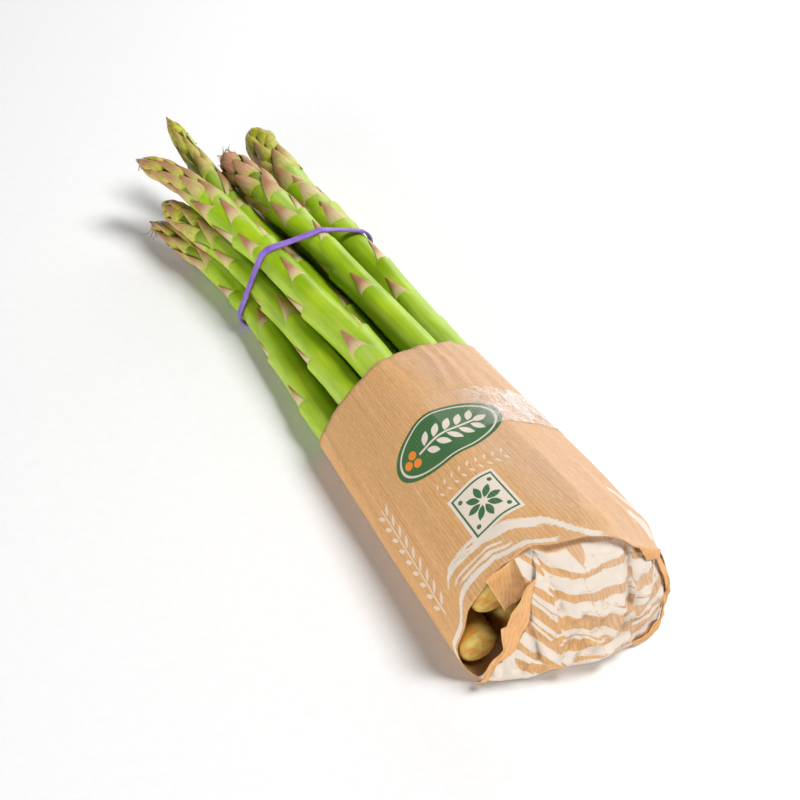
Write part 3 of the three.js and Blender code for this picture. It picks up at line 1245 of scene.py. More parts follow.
@dataclass
class Spear:
    """One asparagus spear."""

    name: str
    path: Points
    radii: Sequence[float]
    head: Sequence[float]
    marks: Sequence[tuple[float, float, float, float]] = ()  # root, turn, reach and span of set bracts
    first_turn: float = 90.0
    loft: float = 0.3  # share of the head's radius that the bracts stand up
    gape: float = 1.0  # how far the head's bracts swell
    blush: float = 0.5  # 0 olive to 1 mauve
    hairs: int = 0  # dry threads at the tip
    hang: bool = False  # whether they hang down and back
    leaf: float = 0.18  # thickness of a bract
    detail: Detail = Detail.FULL

    def __post_init__(self) -> None:
        """Works out the centreline and the bracts."""
        self.axis = Axis(self.path, self.radii, self.head)
        self.random = np.random.default_rng(sum(map(ord, self.name)))
        self.bracts = self.leaf_out()

    def leaf_out(self) -> list[Bract]:
        """Places the bracts: close and spiralling in the head, spread on the stalk.

        Returns:
            The bracts, from the tip down.
        """
        bracts = []
        s, turn = 3.0, self.first_turn
        last = 38.0 if self.marks else self.axis.where(90.0)
        while s < last:
            reach = min(3.6 + 0.5 * s, 14.0) * self.random.uniform(0.9, 1.12)
            width = min(2.2 + 0.14 * s, 5.0) * self.random.uniform(0.88, 1.12)
            span = min(math.degrees(width / self.girth(s)), 70.0)
            if not self.taken(s, turn):
                bracts.append(Bract(s, turn, min(reach, s + 0.4), span, self.youth(s)))
            spread = 0.85 * math.exp(s / 34.0 + (s / 60.0) ** 3)
            s += min(26.0, spread) * self.random.uniform(0.85, 1.15)
            turn += GOLDEN_TURN + self.random.uniform(-9.0, 9.0)
        for root, turn, reach, span in self.marks:
            size = self.random.uniform(0.98, 1.2)
            bracts.append(Bract(root, turn, reach * size, span * size, self.youth(root)))
        return bracts

    def youth(self, s: float) -> float:
        """How young a bract is: 1 in the head, 0 low on the stalk."""
        return float(np.clip(1.3 - s / 44.0, 0.0, 1.0))

    def girth(self, s: float) -> float:
        """Outer radius at one distance from the tip."""
        return float(self.axis.envelope(np.array(s)))

    def taken(self, s: float, turn: float) -> bool:
        """Whether a placed bract already stands near a spot.

        Args:
            s: Distance from the tip.
            turn: Angle round the stalk, in degrees.

        Returns:
            True if one does.
        """
        return any(
            abs(root - s) < 2.6 + 0.12 * s and abs((there - turn + 180.0) % 360.0 - 180.0) < 44.0
            for root, there, _, _ in self.marks
        )

    def core(self, s: np.ndarray) -> np.ndarray:
        """Radius under the bracts at distances from the tip."""
        inside = ease(s, self.head[0] + 14.0, self.head[0] * 0.55)
        return self.axis.envelope(s) * (1.0 - self.loft * inside)

    def ledges(self, s: np.ndarray, angle: np.ndarray, bracts: Sequence[Bract]) -> np.ndarray:
        """Height of the shoulders under the bracts' feet.

        Args:
            s: Distances from the tip.
            angle: Angles round the stalk, in radians.
            bracts: The bracts that count.

        Returns:
            The height at each, in mm.
        """
        height = np.zeros(np.broadcast(s, angle).shape)
        pressed = 1.0 - 0.75 * np.exp(-(((s - self.axis.where(BAND)) / 4.0) ** 2))
        pressed *= ease(s, self.axis.where(MOUTH - 3.0), self.axis.where(MOUTH + 7.0))
        for bract in bracts:
            away = (angle - math.radians(bract.turn) + math.pi) % FULL_TURN - math.pi
            share = away / math.radians(bract.span)
            down = s - bract.root - 2.0 * share**2
            rise = np.where(down > 0.0, np.exp(-np.abs(down) / 11.0), np.exp(-((down / 0.6) ** 2)))
            tall = 0.1 + 1.15 * (1.0 - bract.young)
            height += tall * rise * np.exp(-((share / 0.9) ** 2))
        return np.minimum(height, 1.5) * pressed - 0.25

    def stalk(self) -> bpy.types.Object:
        """The stalk with its cut butt.

        Returns:
            The mesh object.
        """
        sides, pitch = self.detail.value
        total = self.axis.length
        s = np.concatenate([[0.05, 0.35, 0.8], np.arange(1.3, total - 1.4, pitch), [total - 1.25]])
        angle = FULL_TURN * np.arange(sides) / sides
        grid_s, grid_a = np.meshgrid(s, angle, indexing="ij")
        flute = 0.006 * np.sin(grid_a * 9.0 + grid_s * 0.02) + 0.004 * np.sin(grid_a * 5.0 + 1.0)
        radius = self.core(grid_s) * (1.0 + flute) + self.ledges(grid_s, grid_a, self.bracts)
        radius *= 1.0 - ease(grid_s, 1.4, 0.0) * 0.7
        bends = [math.radians(bend) for bend in (10, 22, 34, 46, 58, 69, 80)]
        cut = [(total - 1.2 + 2.4 * math.sin(bend), math.cos(bend) ** 0.8) for bend in bends]
        grid_s = np.vstack([grid_s, *[np.full((1, sides), end) for end, _ in cut]])
        radius = np.vstack([radius, *[radius[-1:] * share for _, share in cut]])
        grid_a = np.broadcast_to(angle, grid_s.shape)
        flat_s = np.minimum(grid_s[:, 0], total)
        ahead, side, up = self.axis.frame(flat_s)
        centre = self.axis.centre(flat_s) - ahead * (grid_s[:, 0] - flat_s)[:, None]
        wheel = side[:, None] * np.cos(grid_a)[..., None] + up[:, None] * np.sin(grid_a)[..., None]
        points = centre[:, None] + wheel * radius[..., None]
        rows = len(points)
        faces = Sheet(points, True).faces().tolist()
        tip, butt = rows * sides, rows * sides + 1
        last = (rows - 1) * sides
        faces += [[(j + 1) % sides, j, tip] for j in range(sides)]
        faces += [[last + j, last + (j + 1) % sides, butt] for j in range(sides)]
        flat = np.vstack([points.reshape(-1, 3), [points[0].mean(0)], [points[-1].mean(0)]])
        piece = new_piece(f"stalk_{self.name[-2:]}", flat, faces, [SKIN, FLESH])
        ends = np.zeros(len(faces), np.int32)
        ends[(rows - len(cut) - 1) * sides:(rows - 1) * sides] = 1
        ends[-sides:] = 1
        piece.data.polygons.foreach_set("material_index", ends)
        grain = vectors(np.cos(grid_a) * radius, np.sin(grid_a) * radius, grid_s)
        grain = np.vstack([grain.reshape(-1, 3), [[0, 0, 0]], [[0, 0, total]]])
        store(piece.data, "grain", grain)
        store(piece.data, "butt", total - grain[:, 2])
        return piece

    def coat(self, tool: "BractTool") -> bpy.types.Object:
        """The bracts, each a thin leaf grown by the bract tool.

        Args:
            tool: The geometry node tool.

        Returns:
            The mesh object.
        """
        s = np.linspace(0.0, min(self.axis.length, 190.0), 200)
        curve = bpy.data.curves.new("axis", "CURVE")
        curve.dimensions = "3D"
        spline = curve.splines.new("POLY")
        spline.points.add(len(s) - 1)
        centre = np.hstack([self.axis.centre(s) * MM, np.ones((len(s), 1))])
        spline.points.foreach_set("co", centre.ravel())
        spline.points.foreach_set("radius", self.core(s) * MM)
        line = placed("axis", curve)
        seeds = bpy.data.meshes.new("seeds")
        seeds.from_pydata([(0.0, 0.0, 0.0)] * len(self.bracts), [], [])
        columns = {
            "root": [b.root * MM for b in self.bracts],
            "turn": [math.radians(b.turn) for b in self.bracts],
            "reach": [b.reach * MM for b in self.bracts],
            "span": [math.radians(b.span) for b in self.bracts],
            "youth": [b.young for b in self.bracts],
            "tone": self.random.uniform(0.0, 1.0, len(self.bracts)),
            "swell": [self.swell(b) * MM for b in self.bracts],
            "lift": [self.lift(b) * MM for b in self.bracts],
            "blush": [self.blush] * len(self.bracts),
            "skew": self.random.uniform(-0.16, 0.16, len(self.bracts)),
            "low": [self.shelf(b, 0.0) * MM for b in self.bracts],
            "high": [self.shelf(b, 1.0) * MM for b in self.bracts],
        }
        for name, values in columns.items():
            store(seeds, name, values)
        piece = tool.run(placed("seeds", seeds), f"bracts_{self.name[-2:]}", {
            "Axis": line, "Columns": tool.columns, "Rows": tool.rows, "Material": SCALE.material(),
        })
        bpy.data.objects.remove(line)
        thicken(piece, self.leaf)
        return piece

    def fray(self, tool: "ThreadTool") -> bpy.types.Object:
        """Curly dry threads round the tip.

        Args:
            tool: The geometry node tool.

        Returns:
            The mesh object.
        """
        steps, points, girth, edges = 14, [], [], []
        for _ in range(self.hairs):
            s = np.array(self.random.uniform(0.3, 2.5 if self.hang else 7.0))
            turn = self.random.uniform(-2.4, -0.9) if self.hang else self.random.uniform(0.0, FULL_TURN)
            ahead, side, up = self.axis.frame(s)
            wheel = side * math.cos(turn) + up * math.sin(turn)
            spot = self.axis.centre(s) + wheel * (self.core(s) + 0.3)
            heading = ahead * self.random.uniform(0.2, 1.0) * (-1.0 if self.hang else 1.0) + wheel
            pivot = self.random.normal(size=3)
            pivot *= self.random.uniform(0.05, 0.3) / np.linalg.norm(pivot)
            stride = self.random.uniform(2.2, 5.0) * (1.7 if self.hang else 1.0) / steps
            for step in range(steps):
                if step:
                    edges.append((len(points) - 1, len(points)))
                points.append(spot)
                girth.append((0.2 - 0.012 * step) * MM)
                heading = heading + np.cross(pivot, heading)
                heading /= np.linalg.norm(heading)
                spot = spot + heading * stride
        lines = bpy.data.meshes.new("lines")
        lines.from_pydata((np.array(points) * MM).tolist(), edges, [])
        store(lines, "girth", girth)
        return tool.run(placed("lines", lines), f"threads_{self.name[-2:]}", {"Material": DRY.material()})

    def shelf(self, bract: Bract, up: float) -> float:
        """Height of the other bracts' shoulders under one bract.

        Args:
            bract: The bract.
            up: 0 at its foot, 1 at its tip.

        Returns:
            The height, in mm.
        """
        others = [other for other in self.bracts if other is not bract]
        spot = np.array([bract.root - bract.reach * up])
        return float(self.ledges(spot, np.array([math.radians(bract.turn)]), others)[0])

    def swell(self, bract: Bract) -> float:
        """How far a bract's middle bulges, in mm."""
        return 0.15 + bract.young * self.gape * 0.2 * self.girth(bract.root)

    def lift(self, bract: Bract) -> float:
        """How far a bract's tip stands off the stalk, in mm."""
        stand = self.loft * self.girth(bract.root)
        return 0.3 + bract.young * stand * self.random.uniform(0.75, 1.5)


class ThreadTool(Tool):
    """Gives lines a round section."""

    def __init__(self) -> None:
        """Builds the tree."""
        super().__init__("thread_tool", {"Sides": ("Int", 6), "Material": ("Material", None)})
        section = self.add("CurvePrimitiveCircle", {"Resolution": self.given["Sides"], "Radius": 1.0})
        line = self.add("MeshToCurve", {0: self.given})
        girth = self.value("girth")
        swept = {"Curve": line, "Profile Curve": section, "Scale": girth, "Fill Caps": True}
        self.finish(self.add("CurveToMesh", swept))


class BractTool(Tool):
    """Grows a leaf on the axis for every seed point."""

    columns = 15
    rows = 13

    def __init__(self) -> None:
        """Builds the tree."""
        super().__init__("bract_tool", {
            "Axis": ("Object", None), "Columns": ("Int", self.columns), "Rows": ("Int", self.rows),
            "Sink": ("Float", 0.0003), "Droop": ("Float", 0.0026), "Flare": ("Float", 0.0018),
            "Material": ("Material", None),
        })
        given = self.given
        size = {"Size X": 2.0, "Size Y": 1.0}
        leaf = self.add("MeshGrid", {**size, "Vertices X": given["Columns"], "Vertices Y": given["Rows"]})
        parts = self.graph.parts(self.add("InputPosition"))
        for name, value in (("u", parts), ("v", parts["Y"] + 0.5)):
            leaf = self.add("StoreNamedAttribute", {"Geometry": leaf, "Name": name, "Value": value})
        grown = self.add("InstanceOnPoints", {"Points": given, "Instance": leaf})
        grown = self.add("RealizeInstances", {0: grown})
        grown = self.add("SetPosition", {"Geometry": grown, "Position": self.position()})
        square = self.graph.pair(self.value("u") * 0.5 + 0.5, self.value("v"))
        mapped = {"Geometry": grown, "Name": "leaf", "Value": square}
        grown = self.add("StoreNamedAttribute", mapped, domain="CORNER", data_type="FLOAT2")
        self.finish(self.add("MergeByDistance", {"Geometry": grown, "Distance": 0.00004}))

    def position(self) -> Wire:
        """Where each point of a leaf goes.

        Returns:
            The position field.
        """
        graph = self.graph
        u, v = self.value("u"), self.value("v")
        young = self.value("youth")
        width = (1.0 - v ** (0.85 + young * 0.9)) ** (1.12 - young * 0.22)
        angle = self.value("turn") - self.value("span") * u * (width * 0.97 + 0.03)
        angle = angle + self.value("skew") * v
        down = self.given["Droop"] * (1.0 - young * 0.45) * u * u * ((1.0 - v) ** 2.0)
        s = self.value("root") - self.value("reach") * v + down | 0.0
        line = self.add("ObjectInfo", {0: self.given["Axis"]}, transform_space="ORIGINAL")["Geometry"]
        reading = {"Curves": line, "Value": self.add("InputRadius"), "Length": s}
        sample = self.add("SampleCurve", reading, mode="LENGTH")["Value"]
        ahead = graph.scaled(sample["Tangent"], -1.0)
        side = graph.vector("NORMALIZE", graph.vector("CROSS_PRODUCT", ahead, (0.0, 0.0, 1.0)))
        up = graph.vector("CROSS_PRODUCT", side, ahead)
        sideways = graph.scaled(side, graph.math("COSINE", angle))
        wheel = graph.vector("ADD", sideways, graph.scaled(up, graph.math("SINE", angle)))
        hump = graph.math("SINE", (v ** 0.6) * math.pi)
        tuck = 1.0 - u * u * (1.0 - v) * 0.85
        height = self.value("lift") * (v ** 0.8) * tuck + self.value("swell") * (1.0 - u * u) * hump
        height = height * (0.12 + 0.88 * s.step(0.0, 0.008))
        height = height + self.value("low") * (1.0 - v) + self.value("high") * v
        height = height - self.given["Sink"] * ((1.0 - v) ** 6.0) + 0.00012 * (1.0 - u * u)
        flare = self.given["Flare"] * (0.25 + self.value("tone")) * (0.3 + 0.7 * young)
        height = height + flare * (u ** 4.0) * ((1.0 - v) ** 3.0)
        return graph.vector("ADD", sample["Position"], graph.scaled(wheel, sample + height))


SPEARS = (
    Spear("spear_01", ((-6.5, 8, 31), (-2.9, 100, 27.2), (-3.9, 133, 25.2), (-4.8, 166, 23.3),
                       (-9.1, 205, 23.5), (-14.1, 228, 24.5), (-23.6, 243.5, 26.8)),
          (6.7, 6.3, 5.3), (34, 5.8, 0.6),
          ((13.7, 125, 12.9, 42), (15, 218, 12.3, 42), (23.6, 92, 15, 40), (28.5, 149, 16, 42),
           (31.4, 66, 14, 38), (34.4, 186, 15, 38),
           (39, 119, 14, 42), (44, 70, 12, 42), (47, 159, 12, 42), (59, 98, 13, 42),
           (63, 190, 12, 38), (66, -40, 11, 38), (73, 50, 11, 36), (76, 146, 10, 34),
           (88, -60, 11, 36), (100.5, 96, 12, 34), (112, 188, 12, 34), (120, -70, 12, 36),
           (133, 25, 12, 36), (144.5, 131, 12, 43), (158, -110, 12, 36)), first_turn=60.0, blush=0.8,
          hairs=5, hang=True),
    Spear("spear_02", ((0.8, 7, 20), (5.2, 100, 18), (3.7, 166, 16.3), (0, 205, 17),
                       (-2.3, 232, 22.6), (-3.7, 259.5, 30)),
          (6.2, 5.5, 4.8), (34, 4.7, 0.75),
          ((22.1, 135, 12.8, 38), (27.2, 90, 12, 38), (26.6, 178, 12, 38), (36.3, 102, 14, 44),
           (33.1, 52, 11, 38), (49.3, 66, 14, 42), (59, 85, 10, 38), (62, 200, 10, 38), (72, -40, 10, 38),
           (98, 84, 12, 36), (110, 200, 11, 36), (128, 60, 11, 36)), first_turn=110.0, gape=0.8,
          blush=0.25),
    Spear("spear_03", ((10, 8, 32.5), (13.6, 100, 26.2), (12.6, 166, 24.2), (9.7, 205, 24.2),
                       (6.9, 232.5, 24.6)),
          (6.2, 5.6, 4.9), (13, 5.2, 0.5),
          ((15.8, 142, 8.5, 42), (23, 104, 11, 42), (22, 60, 11, 38), (29.8, 150, 11, 44),
           (38.6, 88, 11, 48), (32.8, 54, 10.5, 40), (42, 195, 9, 38), (51, 45, 10, 38),
           (54, 135, 11, 45), (60, -60, 10, 38), (71, 72, 10, 38), (84, 190, 12, 36),
           (92, -40, 11, 36), (103.5, 108, 11, 46), (124, -30, 11, 36)), first_turn=75.0, loft=0.34,
          gape=1.25, blush=1.5, hairs=22),
    Spear("spear_04", ((26.2, 8, 19.8), (27.2, 32, 19.1), (26.4, 100, 17), (27, 166, 16.7),
                       (24.6, 205, 17.5), (24.9, 220, 18.3), (26.6, 248.5, 20)),
          (6.4, 6.2, 5.8), (22, 6.7, 0.5),
          ((17.1, 156, 12, 38), (26.5, 130, 14, 38), (32.7, 164, 15, 40), (36.4, 98, 13.5, 42),
           (22.2, 74, 13, 38), (35.1, 58, 14.5, 40), (45.8, 124, 13, 50), (56.8, 92, 12.5, 52),
           (61.9, 142, 9, 38), (61.9, 40, 14, 42), (52, -30, 12, 40), (66, 200, 11, 36), (74, 92, 12, 52),
           (84, -60, 11, 36), (99.5, 64, 11, 34), (120, 110, 11, 36), (132, -10, 11, 36)),
          first_turn=95.0, gape=1.1, blush=0.35),
    Spear("spear_05", ((-25, 4.5, 7), (-19.1, 100, 6.5), (-14.4, 166, 5.2), (-15.8, 195, 5.5),
                       (-22, 218, 6.3), (-26.3, 231, 7)),
          (6.3, 5.8, 4.8), (30, 4.6, 0.7),
          ((14.7, 112, 12, 40), (25.9, 64, 14, 42), (18.8, 172, 12.5, 40), (24.9, 142, 9.5, 42),
           (38.9, 112, 11, 42), (38.6, 171, 12, 42), (50, 20, 10, 38), (57.5, 162, 9, 44), (81, 103, 9, 50),
           (92, 200, 10, 36), (104, -40, 10, 36), (121, 165, 11, 36)), first_turn=130.0, blush=0.85,
          hairs=5, hang=True),
    Spear("spear_06", ((-19.6, 8, 22), (-11.9, 100, 18.6), (-10.9, 166, 14.3), (-13.4, 195, 14.8),
                       (-20.8, 228.5, 15.2)),
          (6.2, 5.5, 4.2), (12, 4.5, 0.5),
          ((15.3, 139, 9.6, 44), (13.8, 88, 9.6, 40), (23.4, 87, 10, 42), (36.3, 103, 12.5, 44),
           (43, -10, 10, 40), (49, 158, 10, 42), (62, -60, 10, 40), (72, 210, 10, 38),
           (89, 92, 12, 46), (110, 190, 11, 38)), first_turn=100.0, blush=0.6),
    Spear("spear_07", ((-12, 9, 6.5), (-5.9, 100, 6.1), (-4, 166, 5.1), (-4.3, 195, 5.2),
                       (-6.6, 222, 6)),
          (6.1, 5.7, 4.8), (28, 4.9, 0.65), first_turn=20.0, detail=Detail.PLAIN),
    Spear("spear_08", ((1.2, 5, 6.4), (5.8, 100, 5.8), (6.2, 166, 5.2), (6.2, 236, 5.8)),
          (6.1, 5.5, 4.9), (30, 5.0, 0.65), first_turn=65.0, detail=Detail.PLAIN),
    Spear("spear_09", ((14.2, 8, 6.3), (17.4, 100, 5.7), (17.2, 166, 5.1), (19.4, 230, 5.6)),
          (6.1, 5.4, 4.8), (26, 4.9, 0.6), first_turn=150.0, detail=Detail.PLAIN),
    Spear("spear_10", ((26.6, 9, 6.2), (29.2, 100, 5.5), (28.3, 166, 5), (31, 238, 5.8)),
          (5.9, 5.2, 4.8), (32, 5.0, 0.7), first_turn=10.0, detail=Detail.PLAIN),
    Spear("spear_11", ((14.5, 6, 19.5), (15.4, 100, 15.9), (14.4, 166, 14.4), (13.6, 231, 13.9)),
          (5.1, 4.3, 4.2), (24, 4.3, 0.6), first_turn=80.0, detail=Detail.PLAIN),
)


# ---- the outline round the spears ----


class Outline:
    """Taut outline round the spears at any y."""

    def __init__(self, spears: Sequence[Spear]) -> None:
        """Keeps the spears' centrelines and radii.

        Args:
            spears: The spears that it goes round.
        """
        self.lines = []
        for spear in spears:
            s = np.linspace(spear.axis.length, 0.0, 160)
            centre = spear.axis.centre(s)
            self.lines.append((centre, spear.axis.envelope(s)))
        self.angles = np.linspace(0.0, FULL_TURN, 360, endpoint=False)

    def reach(self, y: float) -> np.ndarray:
        """How far the spears stand from the hub in each direction at one y.

        Args:
            y: The row's y, in mm.

        Returns:
            One distance for each of the outline's angles.
        """
        reach = np.full(len(self.angles), -1e9)
        for centre, radius in self.lines:
            if y > centre[-1, 1]:
                continue
            x, z, r = (np.interp(y, centre[:, 1], v) for v in (centre[:, 0], centre[:, 2], radius))
            far = (x - HUB[0]) * np.cos(self.angles) + (z - HUB[1]) * np.sin(self.angles) + r
            reach = np.maximum(reach, far)
        return reach

    def radius(self, y: float, gap: float) -> np.ndarray:
        """Distance from the hub to the outline at each of its angles.

        Args:
            y: The row's y, in mm.
            gap: Distance outside the spears.

        Returns:
            One distance for each angle.
        """
        lean = np.cos(self.angles[None] - self.angles[:, None])
        far = np.where(lean > 0.05, (self.reach(y) + gap)[None] / np.maximum(lean, 0.05), 1e9)
        return far.min(axis=1)

    def at(self, y: float, gap: float, angles: np.ndarray) -> np.ndarray:
        """Points of the outline at one y.

        Args:
            y: The row's y, in mm.
            gap: Distance outside the spears.
            angles: Directions from the hub, in radians.

        Returns:
            x and z of each point.
        """
        radius = np.interp(angles, self.angles, self.radius(y, gap), period=FULL_TURN)
        return HUB + radius[:, None] * vectors(np.cos(angles), np.sin(angles))


# ---- elastic band ----


class RibbonTool(Tool):
    """Sweeps a flat rounded section along a curve."""

    def __init__(self) -> None:
        """Builds the tree."""
        super().__init__("ribbon_tool", {
            "Width": ("Float", 0.0024), "Thickness": ("Float", 0.0009),
            "Fillet": ("Float", 0.0003), "Material": ("Material", None),
        })
        given = self.given
        across = {"Width": given["Thickness"], "Height": given["Width"]}
        section = self.add("CurvePrimitiveQuadrilateral", across, mode="RECTANGLE")
        rounding = {"Curve": section, "Radius": given["Fillet"], "Count": 3}
        section = self.add("FilletCurve", rounding, mode="POLY")
        facing = {"Curve": self.add("MeshToCurve", {0: given}), "Normal": self.value("out", "FLOAT_VECTOR")}
        upright = self.add("SetCurveNormal", facing, mode="FREE")
        self.finish(self.add("CurveToMesh", {"Curve": upright, "Profile Curve": section}))


@dataclass
class Band:
    """The stretched elastic ring round the spears."""

    outline: Outline
    width: float = 2.4
    thickness: float = 0.95
    gap: float = 0.5  # over the stalks, whose shoulders stand up under it
    steps: int = 300

    def build(self) -> bpy.types.Object:
        """The ring.

        Returns:
            The mesh object.
        """
        angles = FULL_TURN * np.arange(self.steps) / self.steps
        path = self.outline.at(BAND_Y, self.gap + self.thickness / 2.0, angles)
        path[:, 1] = np.maximum(path[:, 1], self.thickness / 2.0 + 0.05)
        ahead = np.roll(path, -1, axis=0) - np.roll(path, 1, axis=0)
        out = vectors(ahead[:, 1], -ahead[:, 0])
        out /= np.linalg.norm(out, axis=1, keepdims=True)
        twist = 0.16 * np.sin(angles * 2.0 + 0.6) + 0.1 * np.sin(angles * 5.0)
        normal = vectors(out[:, 0] * np.cos(twist), np.sin(twist), out[:, 1] * np.cos(twist))
        y = BAND_Y + 0.35 * np.sin(angles * 3.0 + 1.0)
        points = vectors(path[:, 0], y, path[:, 1]) * MM
        ring = bpy.data.meshes.new("ring")
        ends = [(k, (k + 1) % self.steps) for k in range(self.steps)]
        ring.from_pydata(points.tolist(), ends, [])
        store(ring, "out", normal)
        return RibbonTool().run(placed("ring", ring), "elastic_band", {
            "Width": self.width * MM, "Thickness": self.thickness * MM,
            "Material": RUBBER.material(),
        })


# ---- paper sleeve ----


@dataclass(frozen=True)
class Crease:
    """A fold line on a sheet: the paper stands up along it and falls away evenly beside it."""

    line: Points
    depth: float
    reach: float
    crisp: float = 1.2

    def height(self, spot: np.ndarray) -> np.ndarray:
        """How far the paper stands out.

        Args:
            spot: Places on the flat sheet, two numbers each, in mm.

        Returns:
            One height for each place.
        """
        line = np.asarray(self.line, float)
        nearest = np.full(spot.shape[:-1], 1e9)
        for start, end in zip(line, line[1:]):
            run = end - start
            share = np.clip(((spot - start) @ run) / (run @ run), 0.0, 1.0)
            gap = np.linalg.norm(spot - (start + share[..., None] * run), axis=-1)
            nearest = np.minimum(nearest, gap)
        return self.depth * np.clip(1.0 - nearest / self.reach, 0.0, 1.0) ** self.crisp


def creased(spot: np.ndarray, creases: Sequence[Crease]) -> np.ndarray:
    """Sum of several creases at places on a flat sheet."""
    return sum((crease.height(spot) for crease in creases), np.zeros(spot.shape[:-1]))


def smooth(points: Points, count: int) -> np.ndarray:
    """Evenly spaced points of a smooth curve through a polyline's corners."""
    return spaced(centripetal(np.asarray(points, float), 12), count)


def ladder(left: Points, right: Points, tall: int, wide: int) -> tuple[np.ndarray, np.ndarray, np.ndarray]:
    """A strip between two edges.

    Args:
        left: Corners of its left edge, in the working axes.
        right: Corners of its right edge.
        tall: Points along it.
        wide: Points across it.

    Returns:
        Its points, and how far across and how far up they are, from 0 to 1.
    """
    share = np.linspace(0.0, 1.0, wide)[None, :, None]
    sides = [row(spaced(edge, tall))[:, None] for edge in (left, right)]
    return sides[0] * (1 - share) + sides[1] * share, share[..., 0], np.linspace(0.0, 1.0, tall)[:, None]


